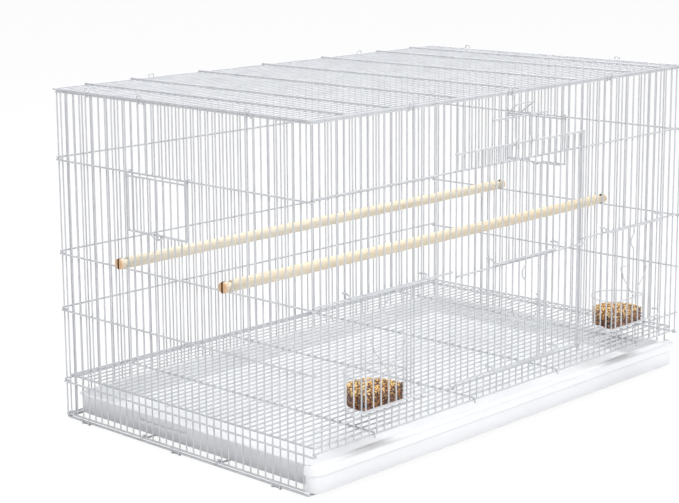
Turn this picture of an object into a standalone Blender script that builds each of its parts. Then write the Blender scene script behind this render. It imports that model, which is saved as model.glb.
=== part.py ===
"""Flight cage for small birds: welded wire panels hooked together over a slide-out moulded tray.

Metres, +Z up. The origin is the middle of the footprint, on the surface that the cage stands on.
The front faces -Y, and +X is to the right when the cage is seen from the front.
Every wall is drawn as if it were the front one: x along the wall, -y outwards, z up. It is then turned
into place about the vertical.
"""

from math import asin, cos, hypot, pi, sin

import bmesh
import bpy
from mathutils import Matrix, Vector

# Cage body, over the centres of the corner wires and over its full height
WIDTH = 0.7747
DEPTH = 0.4699
HEIGHT = 0.4572

# Wire thicknesses
UPRIGHT_WIRE = 0.0020
RAIL_WIRE = 0.0026
BASE_WIRE = 0.0030
LATCH_WIRE = 0.0018
CLIP_WIRE = 0.0016

# Clearances and spot welds
FIT_GAP = 0.0003
RAIL_GAP = 0.0001
WELD_SIZE = 0.0012
WELD_BITE = 0.0003
WELD_EVERY = 7

# Front and back walls: gaps between their uprights, how far below the top their upper rails lie,
# and how far above the surface that the cage stands on their lower ones do
FRONT_GAPS = 56
UPPER_RAIL_DROP = 0.0945
MIDDLE_RAIL_DROP = 0.2223
LOWER_RAIL_DROP = 0.3003
SILL_RAIL_RISE = 0.0842
GRATE_RAIL_RISE = 0.0568
BOTTOM_RAIL_RISE = 0.0082

# Side walls: uprights counted from the back, and the set-back of the first and the last
SIDE_GAPS = 34
SIDE_BACK_SETBACK = 0.0080
SIDE_FRONT_SETBACK = 0.0170

# Roof and grate
ROOF_GAPS = 37
ROOF_OVERHANG = 0.0080
ROOF_CROSS_SHARES = (0.071, 0.174, 0.336, 0.5, 0.664, 0.826, 0.929)
GRATE_GAPS = 36
GRATE_EDGE_GAP = 0.0020
GRATE_HOOK_UPRIGHTS = (7.5, 21.5, 34.5, 48.5)
GRATE_SIDE_HOOK_UPRIGHT = 15.5
HOOK_TAIL = 0.0040

# Roof clips, at half gaps of the wall that they bind, and the room between a clip and the uprights
FRONT_CLIP_UPRIGHTS = (12.5, 26.5, 42.5)
BACK_CLIP_UPRIGHTS = (12.5, 43.5)
LEFT_CLIP_UPRIGHTS = (4.5, 12.5, 27.5)
RIGHT_CLIP_UPRIGHTS = (4.5, 26.5)
CLIP_SIDE_GAP = 0.00054

# Base frame and feet
BASE_FRONT_SETBACK = 0.0100
BASE_RUNNER_SHARES = (0.178, 0.382, 0.574, 0.774)
BASE_CROSS_UPRIGHTS = (-0.3, 11.5, 22.5)
FOOT_UPRIGHTS = (2, 16, 30)

# Main door, which hinges on the sill rail, counted in uprights of the front wall: its levels from the top
# down, and its bottom wire from the sill rail up
DOORWAY_UPRIGHTS = (18, 38)
DOOR_TOP_DROP = 0.0715
DOOR_RAIL_DROP = 0.2270
DOOR_BOTTOM_RISE = 0.0065
DOOR_STEP = 0.0019
DOOR_SIDE_INSET = 0.0029

# Latch on the main door and the bar that it catches
LOCK_BAR_DROP = 0.0375
LOCK_BAR_UPRIGHTS = (24, 32)
LATCH_LEG_SHARE = 1.2
LATCH_EYE_RISE = 0.0080
LATCH_REACH = 0.0150
LATCH_CLEARANCE = 0.0007
LATCH_RETURN = 0.0035
FINGER_RISE = 0.0148
FINGER_REACH = 0.0040
BEND_SETBACK = 0.0008

# Feeder doors, centred on these uprights of the front wall or the main door: the bottom wire from the sill
# rail up, the grip's ends and the spring's eyes and apex as shares of the door's height from its top down
LEFT_FEEDER_UPRIGHT = 9
RIGHT_FEEDER_UPRIGHT = 47
MIDDLE_FEEDER_UPRIGHT = 28
FEEDER_SIDE_GAPS = 3
FEEDER_GUIDE_GAPS = 5
FEEDER_TOP_DROP = 0.2225
FEEDER_BOTTOM_RISE = 0.0075
FEEDER_CURL_RISE = 0.0080
GRIP_SHARES = (0.0734, 0.2273)
GRIP_JOG = 0.0070
SPRING_SHARES = (0.4371, 0.7168)
SPRING_EAR = 0.0080

# Side doors, counted in side uprights from the back
SIDE_DOOR_UPRIGHTS = (11, 19)
SIDE_DOOR_HEIGHT = 0.0750
SIDE_DOOR_OVERLAP = 0.0032
SIDE_DOOR_NOTCH = 0.0060
SIDE_DOOR_NOTCH_WIDTH = 0.0260
SIDE_DOOR_HEAD_DROP = 0.0040
SIDE_SILL_OVERLAP = 0.0010

# Perches, at these half gaps of the side walls, and the room between a neck and the uprights beside it
PERCH_UPRIGHTS = (9.5, 24.5)
PERCH_DIAMETER = 0.0150
PERCH_NECK_GAP = 0.00054
PERCH_KNOB = 0.0145
PERCH_KNOB_LENGTH = 0.0070
PERCH_EDGE = 0.0012
PERCH_SIDES = 12

# Seed cups
CUP_DEPTH = 0.0600
CUP_STRAIGHT = 0.0180
CUP_HEIGHT = 0.0430
CUP_WALL = 0.0016
CUP_FLOOR = 0.0018
CUP_DRAFT = 0.0008
CUP_LIP = 0.0012
CUP_LIP_HEIGHT = 0.0020
CUP_CORNER = 0.0025
CUP_SIDE_GAP = 0.0010
CUP_LUG = 0.0030
CUP_LUG_THICKNESS = 0.0018
CUP_LUG_SET_BACK = 0.0002
CUP_LUG_HEIGHT = 0.0380

# Tray: a pan with a drawer front
TRAY_SIDE_GAP = 0.0070
TRAY_BACK_GAP = 0.0080
TRAY_HEIGHT = 0.0300
TRAY_WALL = 0.0018
TRAY_DRAFT = 0.0040
TRAY_RIM = 0.0035
TRAY_CORNER = 0.0140
TRAY_FRONT_OUT = 0.0020
TRAY_LEDGE = 0.0120
TRAY_LEDGE_DROP = 0.0007
TRAY_FRONT_TOP = 0.0400
TRAY_FRONT_BOTTOM = 0.0066
TRAY_FRONT_SIDE_GAP = 0.0010
TRAY_BEAD = 0.0030
TRAY_BEAD_BOTTOM = 0.0275
TRAY_BEAD_ROUND = 0.0025
TRAY_RIB_LENGTH = 0.0950
TRAY_RIB_HEIGHT = 0.0040
TRAY_RIB_DEPTH = 0.0012
TRAY_RIB_BACK = 0.1360
TRAY_RIB_LEVEL = 0.0160

# Colours, roughness and metallic value of each material
WHITE_COAT = ((0.90, 0.91, 0.92, 1), 0.35, 0.0)
TRAY_PLASTIC = ((0.84, 0.85, 0.87, 1), 0.45, 0.0)
CLEAR_PLASTIC = ((0.92, 0.94, 0.96, 0.35), 0.08, 0.0)
PERCH_WOOD = ((0.78, 0.66, 0.47, 1), 0.70, 0.0)

SQUARE = 4
ROUND = 6
CORNER_STEPS = 5
RIB_STEPS = 4
STEEP_SHARE = 0.9
SHARP_ANGLE = pi / 5
MIDDLE_SHARE = 0.5
ALONG_FRONT = 0
ALONG_BACK = pi
ALONG_LEFT = -pi / 2
ALONG_RIGHT = pi / 2

# Distances between the centres of wires that pass or hold each other
FRONT_PITCH = WIDTH / FRONT_GAPS
SIDE_PITCH = (DEPTH - SIDE_BACK_SETBACK - SIDE_FRONT_SETBACK) / SIDE_GAPS
RAIL_OUT = (UPRIGHT_WIRE + RAIL_WIRE) / 2 + RAIL_GAP
DOOR_OUT = RAIL_OUT + RAIL_WIRE + FIT_GAP
MAIN_DOOR_OUT = DOOR_OUT + DOOR_STEP
FEEDER_OUT = RAIL_OUT + (RAIL_WIRE + UPRIGHT_WIRE) / 2 + CLIP_WIRE + 2 * FIT_GAP
HOOK_STEP = RAIL_WIRE + 2 * FIT_GAP
UPRIGHT_CURL = (UPRIGHT_WIRE + RAIL_WIRE) / 2 + FIT_GAP
HINGE_CURL = DOOR_OUT - RAIL_OUT
CLIP_WIDTH = min(FRONT_PITCH, SIDE_PITCH) - UPRIGHT_WIRE - CLIP_WIRE - 2 * CLIP_SIDE_GAP
PERCH_NECK = SIDE_PITCH - UPRIGHT_WIRE - 2 * PERCH_NECK_GAP

# Levels of the wires, from the top down and from the surface up
ROOF_CROSS_LEVEL = HEIGHT - RAIL_WIRE / 2
ROOF_LEVEL = ROOF_CROSS_LEVEL - RAIL_OUT
WALL_TOP = ROOF_LEVEL - RAIL_WIRE - FIT_GAP
WALL_BOTTOM = BOTTOM_RAIL_RISE
SILL_LEVEL = SILL_RAIL_RISE
GRATE_RAIL_LEVEL = GRATE_RAIL_RISE
UPPER_RAIL_LEVEL = HEIGHT - UPPER_RAIL_DROP
MIDDLE_RAIL_LEVEL = HEIGHT - MIDDLE_RAIL_DROP
LOWER_RAIL_LEVEL = HEIGHT - LOWER_RAIL_DROP
OUTER_RAIL_LEVELS = (UPPER_RAIL_LEVEL, MIDDLE_RAIL_LEVEL, LOWER_RAIL_LEVEL, GRATE_RAIL_LEVEL)
GRATE_CROSS_LEVEL = GRATE_RAIL_LEVEL + RAIL_WIRE + FIT_GAP
GRATE_LEVEL = GRATE_CROSS_LEVEL + RAIL_OUT
BASE_LEVEL = UPRIGHT_WIRE + FIT_GAP + BASE_WIRE / 2
BASE_CROSS_LEVEL = BASE_LEVEL + (BASE_WIRE + RAIL_WIRE) / 2 + RAIL_GAP
TRAY_BOTTOM = BASE_CROSS_LEVEL + RAIL_WIRE / 2 + FIT_GAP
SIDE_DOOR_RAIL_LEVEL = UPPER_RAIL_LEVEL - HOOK_STEP
DOOR_TOP_LEVEL = HEIGHT - DOOR_TOP_DROP


def front_x(upright):
    """Place along the front or back wall of an upright counted from the left."""
    return upright * FRONT_PITCH - WIDTH / 2


def side_y(upright):
    """Depth in the cage of a side upright counted from the back."""
    return DEPTH / 2 - SIDE_BACK_SETBACK - upright * SIDE_PITCH


def material(name, look):
    """A plain surface with a colour, a roughness and a metallic value."""
    found = bpy.data.materials.get(name)
    if found:
        return found
    colour, roughness, metallic = look
    made = bpy.data.materials.new(name)
    made.use_nodes = True
    shader = made.node_tree.nodes["Principled BSDF"]
    shader.inputs["Base Color"].default_value = colour
    shader.inputs["Alpha"].default_value = colour[3]
    shader.inputs["Roughness"].default_value = roughness
    shader.inputs["Metallic"].default_value = metallic
    made.diffuse_color = colour
    return made


def add_box(shapes, low, high):
    """A box between two opposite corners."""
    centre = (Vector(low) + Vector(high)) / 2
    size = Vector(high) - Vector(low)
    place = Matrix.Translation(centre) @ Matrix.Diagonal((*size, 1))
    bmesh.ops.create_cube(shapes, size=1, matrix=place)


def add_bar(shapes, start, end, thickness):
    """A straight wire along one axis, with flat sides."""
    low = [min(pair) for pair in zip(start, end)]
    high = [max(pair) for pair in zip(start, end)]
    for axis in range(3):
        if low[axis] == high[axis]:
            low[axis] -= thickness / 2
            high[axis] += thickness / 2
    add_box(shapes, low, high)


def bridge(shapes, loops, closed=False):
    """Faces between loops of points, with a cap at each end unless the loops close on themselves."""
    rings = [[shapes.verts.new(point) for point in loop] for loop in loops]
    count = len(rings[0])
    pairs = list(zip(rings, rings[1:]))
    if closed:
        pairs.append((rings[-1], rings[0]))
    else:
        shapes.faces.new(reversed(rings[0]))
        shapes.faces.new(rings[-1])
    for lower, upper in pairs:
        for i in range(count):
            j = (i + 1) % count
            shapes.faces.new((lower[i], lower[j], upper[j], upper[i]))


def add_wire(shapes, points, diameter, sides=SQUARE, closed=False):
    """A bent wire along a line of points, mitred at each bend."""
    points = [Vector(point) for point in points]
    count = len(points)
    runs = [(points[(i + 1) % count] - points[i]).normalized() for i in range(count)]
    if not closed:
        runs[-1] = runs[-2]
    incoming = runs[-1] if closed else runs[0]
    upward = Vector((0, 1, 0)) if abs(incoming.z) > STEEP_SHARE else Vector((0, 0, 1))
    across = incoming.cross(upward).normalized()
    radius = diameter / 2 / cos(pi / sides)
    rings = []
    for point, outgoing in zip(points, runs):
        mitre = (incoming + outgoing).normalized()
        rising = across.cross(incoming)
        ring = []
        for corner in range(sides):
            angle = (2 * corner + 1) * pi / sides
            offset = radius * (cos(angle) * across + sin(angle) * rising)
            offset -= incoming * (offset.dot(mitre) / incoming.dot(mitre))
            ring.append(point + offset)
        rings.append(ring)
        across = incoming.rotation_difference(outgoing) @ across
        incoming = outgoing
    bridge(shapes, rings, closed)


def eased(points):
    """The same line of points with each bend cut short on both sides of its corner."""
    points = [Vector(point) for point in points]
    line = [points[0]]
    for before, corner, after in zip(points, points[1:], points[2:]):
        line.append(corner + (before - corner).normalized() * BEND_SETBACK)
        line.append(corner + (after - corner).normalized() * BEND_SETBACK)
    return line + [points[-1]]


def mirrored(points):
    """A line of points followed by its own mirror image across x = 0, as one wire."""
    return list(points) + [(-x, y, z) for x, y, z in reversed(points)]


def mesh_from(shapes, name):
    """A mesh with its faces pointing outwards."""
    bmesh.ops.recalc_face_normals(shapes, faces=shapes.faces)
    mesh = bpy.data.meshes.new(name)
    shapes.to_mesh(mesh)
    shapes.free()
    return mesh


def joined(name, layers):
    """A mesh of layers of shapes, each united with the ones before it."""
    body = bpy.data.objects.new(name, mesh_from(layers[0], name))
    bpy.context.scene.collection.objects.link(body)
    for layer in layers[1:]:
        helper = bpy.data.objects.new(name + "_layer", mesh_from(layer, name + "_layer"))
        helper.hide_render = True
        helper.display_type = "WIRE"
        bpy.context.scene.collection.objects.link(helper)
        union = body.modifiers.new("union", "BOOLEAN")
        union.operation = "UNION"
        union.solver = "EXACT"
        union.object = helper
        graph = bpy.context.evaluated_depsgraph_get()
        mesh = bpy.data.meshes.new_from_object(body.evaluated_get(graph))
        body.modifiers.clear()
        body.data = mesh
        bpy.data.objects.remove(helper)
    mesh = body.data
    bpy.data.objects.remove(body)
    return mesh


def place(name, mesh, look, turn=ALONG_FRONT, origin=(0, 0, 0), wall=0.0, parent=None, smooth=False):
    """Puts a mesh drawn as part of a wall into the cage, with the object's origin at a point of the drawing."""
    mesh.transform(Matrix.Translation(-Vector(origin)))
    mesh.name = name
    mesh.materials.clear()
    mesh.materials.append(material(*look))
    if smooth:
        mesh.shade_smooth()
        mesh.set_sharp_from_angle(angle=SHARP_ANGLE)
    piece = bpy.data.objects.new(name, mesh)
    bpy.context.scene.collection.objects.link(piece)
    turned = Matrix.Rotation(turn, 4, "Z")
    local = Vector(origin) + Vector((0, -wall, 0))
    piece.matrix_world = Matrix.Translation(turned @ local) @ turned
    if parent:
        bpy.context.view_layer.update()
        piece.parent = parent
        piece.matrix_parent_inverse = parent.matrix_world.inverted()
    return piece


def add_welds(shapes, spots, out=0.0, inner=UPRIGHT_WIRE, outer=RAIL_WIRE):
    """Spot welds that bridge the gap from uprights, whose plane is set forward by out, to an outer rail."""
    near = -out - inner / 2 + WELD_BITE
    far = -out - inner / 2 - RAIL_GAP - WELD_BITE
    for x, z in spots:
        add_box(
            shapes,
            (x - WELD_SIZE / 2, far, z - WELD_SIZE / 2),
            (x + WELD_SIZE / 2, near, z + WELD_SIZE / 2),
        )


def add_uprights(shapes, spans, y=0.0):
    """Straight uprights, each given as its place and its lower and upper ends."""
    for x, low, high in spans:
        add_bar(shapes, (x, y, low), (x, y, high), UPRIGHT_WIRE)


def weld_rows(first, last):
    """The uprights between two of them, both included, that a crossing rail is welded to."""
    inner = [k for k in range(first + 1, last - 1) if (k - first) % WELD_EVERY == 0]
    return [first, *inner, last]


def front_openings():
    """Each opening of the front wall as its two jambs and its lower and upper levels."""
    sill = SILL_LEVEL
    head = MIDDLE_RAIL_LEVEL
    yield *DOORWAY_UPRIGHTS, sill, UPPER_RAIL_LEVEL
    for centre in (LEFT_FEEDER_UPRIGHT, RIGHT_FEEDER_UPRIGHT):
        yield centre - FEEDER_SIDE_GAPS, centre + FEEDER_SIDE_GAPS, sill, head


def front_panel():
    """The front wall, with the doorway, two feeder openings and the lock bar."""
    frame, uprights, welds = bmesh.new(), bmesh.new(), bmesh.new()
    half = RAIL_WIRE / 2
    levels = [UPPER_RAIL_LEVEL, MIDDLE_RAIL_LEVEL, SILL_LEVEL]
    ends = (-WIDTH / 2 - half, WIDTH / 2 + half)
    for level in (WALL_TOP, GRATE_RAIL_LEVEL):
        add_bar(frame, (ends[0], 0, level), (ends[1], 0, level), RAIL_WIRE)
    left, right = DOORWAY_UPRIGHTS
    lock_level = HEIGHT - LOCK_BAR_DROP
    runs = [
        (0, FRONT_GAPS, levels[0]),
        (0, left, levels[1]),
        (right, FRONT_GAPS, levels[1]),
        (0, FRONT_GAPS, levels[2]),
        (*LOCK_BAR_UPRIGHTS, lock_level),
    ]
    spots = set()
    for first, last, level in runs:
        start, end = front_x(first) - half, front_x(last) + half
        add_bar(frame, (start, -RAIL_OUT, level), (end, -RAIL_OUT, level), RAIL_WIRE)
        spots.update((front_x(k), level) for k in weld_rows(first, last))
    openings = list(front_openings())
    spans = []
    for k in range(FRONT_GAPS + 1):
        cuts = [(low, high) for first, last, low, high in openings if first < k < last]
        if not cuts:
            spans.append((front_x(k), GRATE_RAIL_LEVEL, WALL_TOP))
            continue
        low, high = cuts[0]
        spans.append((front_x(k), GRATE_RAIL_LEVEL, low + half))
        spans.append((front_x(k), high - half, WALL_TOP))
    add_uprights(uprights, spans)
    add_welds(welds, sorted(spots))
    mesh = joined("front_panel", [frame, uprights, welds])
    return place("front_panel", mesh, ("white_coat", WHITE_COAT), ALONG_FRONT, wall=DEPTH / 2)


def back_panel():
    """The back wall, plain from side to side and down to the base."""
    frame, uprights, welds = bmesh.new(), bmesh.new(), bmesh.new()
    half = RAIL_WIRE / 2
    start, end = -WIDTH / 2 - half, WIDTH / 2 + half
    for level in (WALL_TOP, WALL_BOTTOM):
        add_bar(frame, (start, 0, level), (end, 0, level), RAIL_WIRE)
    rows = [front_x(k) for k in weld_rows(0, FRONT_GAPS)]
    for level in OUTER_RAIL_LEVELS:
        add_bar(frame, (start, -RAIL_OUT, level), (end, -RAIL_OUT, level), RAIL_WIRE)
        add_welds(welds, [(x, level) for x in rows])
    spans = [(front_x(k), WALL_BOTTOM, WALL_TOP) for k in range(FRONT_GAPS + 1)]
    add_uprights(uprights, spans)
    mesh = joined("back_panel", [frame, uprights, welds])
    return place("back_panel", mesh, ("white_coat", WHITE_COAT), ALONG_BACK, wall=DEPTH / 2)


def side_rail(shapes, sign, level):
    """A side rail that runs past both corners and curls round the end uprights of the front and back walls."""
    curl = UPRIGHT_CURL
    front = DEPTH / 2
    path = [
        (front - curl / 2, curl, level),
        (front + curl, curl, level),
        (front + curl, -RAIL_OUT, level),
        (-front - curl, -RAIL_OUT, level),
        (-front - curl, curl, level),
        (-front + curl / 2, curl, level),
    ]
    add_wire(shapes, [(sign * x, y, z) for x, y, z in path], RAIL_WIRE)


def foot(shapes, sign, upright):
    """Two neighbouring uprights carried on outside the bottom rail, under the base wire and into one loop."""
    out = (BASE_WIRE + UPRIGHT_WIRE) / 2 + FIT_GAP
    first, second = [-sign * side_y(k) for k in (upright, upright + 1)]
    leg = [
        (first, 0, WALL_BOTTOM),
        (first, -out, WALL_BOTTOM),
        (first, -out, UPRIGHT_WIRE / 2),
        (first, out - UPRIGHT_WIRE / 2, UPRIGHT_WIRE / 2),
    ]
    back = [(second, y, z) for x, y, z in reversed(leg)]
    add_wire(shapes, leg + back, UPRIGHT_WIRE)


def side_panel(name, sign, turn):
    """A side wall, drawn with its back at -sign, with a doorway under the upper rail and three feet."""
    frame, uprights, sills = bmesh.new(), bmesh.new(), bmesh.new()
    welds, feet = bmesh.new(), bmesh.new()
    half = RAIL_WIRE / 2

    def place_of(k):
        return -sign * side_y(k)

    end = sign * (DEPTH / 2 - half - FIT_GAP)
    last = place_of(SIDE_GAPS) + sign * half
    add_bar(frame, (-end, 0, WALL_TOP), (end, 0, WALL_TOP), RAIL_WIRE)
    add_bar(frame, (-end, 0, WALL_BOTTOM), (last, 0, WALL_BOTTOM), RAIL_WIRE)
    jambs = SIDE_DOOR_UPRIGHTS
    sill = SIDE_DOOR_RAIL_LEVEL - SIDE_DOOR_HEIGHT - SIDE_SILL_OVERLAP
    add_bar(sills, (place_of(jambs[0]), 0, sill), (place_of(jambs[1]), 0, sill), RAIL_WIRE)
    spots = set()
    for outer_level in OUTER_RAIL_LEVELS:
        level = outer_level - HOOK_STEP
        side_rail(frame, sign, level)
        spots.update((k, level) for k in weld_rows(0, SIDE_GAPS))
    spans = []
    for k in range(SIDE_GAPS + 1):
        if jambs[0] < k < jambs[1]:
            spans.append((place_of(k), WALL_BOTTOM, sill))
            spans.append((place_of(k), SIDE_DOOR_RAIL_LEVEL - half, WALL_TOP))
            spots.add((k, SIDE_DOOR_RAIL_LEVEL))
        else:
            spans.append((place_of(k), WALL_BOTTOM, WALL_TOP))
    add_uprights(uprights, spans)
    add_welds(welds, [(place_of(k), level) for k, level in sorted(spots)])
    for upright in FOOT_UPRIGHTS:
        foot(feet, sign, upright)
    mesh = joined(name, [frame, uprights, sills, welds, feet])
    return place(name, mesh, ("white_coat", WHITE_COAT), turn, wall=WIDTH / 2)


def rectangle(left, right, front, back, level):
    """Four corners at one level."""
    return [(left, front, level), (right, front, level), (right, back, level), (left, back, level)]


def level_welds(shapes, spots, low, high):
    """Spot welds between wires that cross one over the other."""
    for x, y in spots:
        add_box(
            shapes,
            (x - WELD_SIZE / 2, y - WELD_SIZE / 2, low),
            (x + WELD_SIZE / 2, y + WELD_SIZE / 2, high),
        )


def roof_panel():
    """The roof: fine wires from side to side in a wire frame, with cross wires welded on top."""
    frame, wires, crosses, welds = bmesh.new(), bmesh.new(), bmesh.new(), bmesh.new()
    front, back = -DEPTH / 2, DEPTH / 2 + ROOF_OVERHANG
    corners = rectangle(-WIDTH / 2, WIDTH / 2, front, back, ROOF_LEVEL)
    add_wire(frame, corners, RAIL_WIRE, closed=True)
    pitch = (back - front) / ROOF_GAPS
    rows = [front + k * pitch for k in range(1, ROOF_GAPS)]
    for y in rows:
        add_bar(wires, (-WIDTH / 2, y, ROOF_LEVEL), (WIDTH / 2, y, ROOF_LEVEL), UPRIGHT_WIRE)
    low = ROOF_LEVEL + UPRIGHT_WIRE / 2 - WELD_BITE
    high = ROOF_CROSS_LEVEL - RAIL_WIRE / 2 + WELD_BITE
    for share in ROOF_CROSS_SHARES:
        x = (share - MIDDLE_SHARE) * WIDTH
        add_bar(crosses, (x, front, ROOF_CROSS_LEVEL), (x, back, ROOF_CROSS_LEVEL), RAIL_WIRE)
        level_welds(welds, [(x, y) for y in rows[WELD_EVERY - 1 :: WELD_EVERY]], low, high)
    mesh = joined("roof_panel", [frame, wires, crosses, welds])
    return place("roof_panel", mesh, ("white_coat", WHITE_COAT))


def floor_grate():
    """The grate: fine wires from side to side on cross wires that hook over the front and back rails."""
    frame, wires, crosses, welds = bmesh.new(), bmesh.new(), bmesh.new(), bmesh.new()
    edge = WIDTH / 2 - UPRIGHT_WIRE / 2 - RAIL_WIRE / 2 - GRATE_EDGE_GAP
    front = -DEPTH / 2 + UPRIGHT_WIRE / 2 + RAIL_WIRE / 2 + GRATE_EDGE_GAP
    corners = rectangle(-edge, edge, front, -front, GRATE_LEVEL)
    add_wire(frame, corners, RAIL_WIRE, closed=True)
    pitch = -2 * front / GRATE_GAPS
    rows = [front + k * pitch for k in range(1, GRATE_GAPS)]
    for y in rows:
        add_bar(wires, (-edge, y, GRATE_LEVEL), (edge, y, GRATE_LEVEL), UPRIGHT_WIRE)
    low = GRATE_CROSS_LEVEL + RAIL_WIRE / 2 - WELD_BITE
    high = GRATE_LEVEL - UPRIGHT_WIRE / 2 + WELD_BITE
    reach = RAIL_WIRE + FIT_GAP
    tail = GRATE_RAIL_LEVEL - HOOK_TAIL
    for upright in GRATE_HOOK_UPRIGHTS:
        x = front_x(upright)
        back_rail = DEPTH / 2 + RAIL_OUT
        path = [
            (x, -DEPTH / 2 - reach, tail),
            (x, -DEPTH / 2 - reach, GRATE_CROSS_LEVEL),
            (x, back_rail + reach, GRATE_CROSS_LEVEL),
            (x, back_rail + reach, tail),
        ]
        add_wire(crosses, path, RAIL_WIRE)
        level_welds(welds, [(x, y) for y in rows[WELD_EVERY - 1 :: WELD_EVERY]], low, high)
    hooks = bmesh.new()
    y = side_y(GRATE_SIDE_HOOK_UPRIGHT)
    side_rail_x = WIDTH / 2 + RAIL_OUT
    side_tail = GRATE_RAIL_LEVEL - HOOK_STEP - HOOK_TAIL
    for sign in (-1, 1):
        path = [(edge, GRATE_LEVEL), (side_rail_x + reach, GRATE_LEVEL), (side_rail_x + reach, side_tail)]
        add_wire(hooks, [(sign * x, y, z) for x, z in path], UPRIGHT_WIRE)
    mesh = joined("floor_grate", [frame, wires, crosses, welds, hooks])
    return place("floor_grate", mesh, ("white_coat", WHITE_COAT))


def base_frame():
    """The base: a wire frame with runners for the tray, held by hooks over the side walls' bottom rails."""
    frame, runners, crosses, welds = bmesh.new(), bmesh.new(), bmesh.new(), bmesh.new()
    front, back = -DEPTH / 2 + BASE_FRONT_SETBACK, DEPTH / 2
    corners = rectangle(-WIDTH / 2, WIDTH / 2, front, back, BASE_LEVEL)
    add_wire(frame, corners, BASE_WIRE, closed=True)
    places = [(share - MIDDLE_SHARE) * WIDTH for share in BASE_RUNNER_SHARES]
    for x in places:
        add_bar(runners, (x, front, BASE_LEVEL), (x, back, BASE_LEVEL), RAIL_WIRE)
    rise = WALL_BOTTOM + RAIL_WIRE + FIT_GAP
    reach = RAIL_WIRE + FIT_GAP
    inside = WIDTH / 2 - RAIL_WIRE - FIT_GAP
    low = BASE_LEVEL + RAIL_WIRE / 2 - WELD_BITE
    high = BASE_CROSS_LEVEL - RAIL_WIRE / 2 + WELD_BITE
    for upright in BASE_CROSS_UPRIGHTS:
        y = side_y(upright)
        half = [
            (-WIDTH / 2 - reach, y, WALL_BOTTOM - RAIL_WIRE / 2),
            (-WIDTH / 2 - reach, y, rise),
            (-inside, y, rise),
            (-inside, y, BASE_CROSS_LEVEL),
        ]
        add_wire(crosses, mirrored(half), RAIL_WIRE)
        level_welds(welds, [(x, y) for x in places], low, high)
    mesh = joined("base_frame", [frame, runners, crosses, welds])
    return place("base_frame", mesh, ("white_coat", WHITE_COAT))


def main_door():
    """The tall front door: its sides step back at the foot and hook round the sill rail."""
    frame, uprights, rails, welds = bmesh.new(), bmesh.new(), bmesh.new(), bmesh.new()
    first, last = DOORWAY_UPRIGHTS
    sides = front_x(first) + DOOR_SIDE_INSET, front_x(last) - DOOR_SIDE_INSET
    half = RAIL_WIRE / 2
    low, high = SILL_LEVEL + DOOR_BOTTOM_RISE, DOOR_TOP_LEVEL
    ends = sides[0] - half, sides[1] + half
    for level in (low, high):
        add_bar(frame, (ends[0], -MAIN_DOOR_OUT, level), (ends[1], -MAIN_DOOR_OUT, level), RAIL_WIRE)
    out = MAIN_DOOR_OUT + RAIL_OUT
    rail_level = HEIGHT - DOOR_RAIL_DROP
    add_bar(rails, (ends[0], -out, rail_level), (ends[1], -out, rail_level), RAIL_WIRE)
    spans = []
    for k in range(first + 1, last):
        inside = abs(k - MIDDLE_FEEDER_UPRIGHT) < FEEDER_SIDE_GAPS
        spans.append((front_x(k), rail_level - half if inside else low, high))
    add_uprights(uprights, spans, -MAIN_DOOR_OUT)
    for x in sides:
        path = [
            (x, -MAIN_DOOR_OUT, high),
            (x, -MAIN_DOOR_OUT, low - half),
            (x, -DOOR_OUT, SILL_LEVEL + half),
            (x, -DOOR_OUT, SILL_LEVEL - HINGE_CURL),
            (x, -RAIL_OUT + HINGE_CURL, SILL_LEVEL - HINGE_CURL),
            (x, -RAIL_OUT + HINGE_CURL, SILL_LEVEL + HINGE_CURL / 2),
        ]
        add_wire(uprights, path, UPRIGHT_WIRE)
    rows = [front_x(k) for k in weld_rows(first, last)[1:-1]]
    add_welds(welds, [(x, rail_level) for x in (*sides, *rows)], MAIN_DOOR_OUT)
    mesh = joined("main_door", [frame, uprights, rails, welds])
    hinge = (0, -RAIL_OUT, SILL_LEVEL)
    return place("main_door", mesh, ("white_coat", WHITE_COAT), ALONG_FRONT, hinge, DEPTH / 2)


def main_door_latch(door):
    """The wire latch: two eyes on the door's top wire, two legs that reach in over the lock bar, a finger bar."""
    curl = (RAIL_WIRE + LATCH_WIRE) / 2 + 2 * FIT_GAP
    bar_top = HEIGHT - LOCK_BAR_DROP + RAIL_WIRE / 2 - DOOR_TOP_LEVEL
    bar_back = MAIN_DOOR_OUT - RAIL_OUT + RAIL_WIRE / 2
    radius = hypot(bar_top, bar_back) + LATCH_CLEARANCE + LATCH_WIRE / 2
    reach = asin(LATCH_REACH / radius)
    x = -LATCH_LEG_SHARE * FRONT_PITCH

    def point(y, z):
        return (x, -MAIN_DOOR_OUT + y, DOOR_TOP_LEVEL + z)

    arc = [point(radius * sin(reach * share), radius * cos(reach * share)) for share in (0, MIDDLE_SHARE, 1)]
    inner = point(LATCH_REACH, radius * cos(reach) + LATCH_RETURN)
    finger = point(-FINGER_REACH, radius + FINGER_RISE)
    half = [
        point(curl, curl / 2),
        point(curl, -curl),
        point(-curl, -curl),
        point(-curl, curl),
        point(0, LATCH_EYE_RISE),
        *arc,
        inner,
        finger,
    ]
    path = eased(mirrored(half))
    shapes = bmesh.new()
    centre = front_x(sum(DOORWAY_UPRIGHTS) / 2)
    add_wire(shapes, [(centre + px, py, pz) for px, py, pz in path], LATCH_WIRE, ROUND)
    hinge = (centre, -MAIN_DOOR_OUT, DOOR_TOP_LEVEL)
    mesh = mesh_from(shapes, "main_door_latch")
    look = ("white_coat", WHITE_COAT)
    return place("main_door_latch", mesh, look, ALONG_FRONT, hinge, DEPTH / 2, door, smooth=True)


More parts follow.
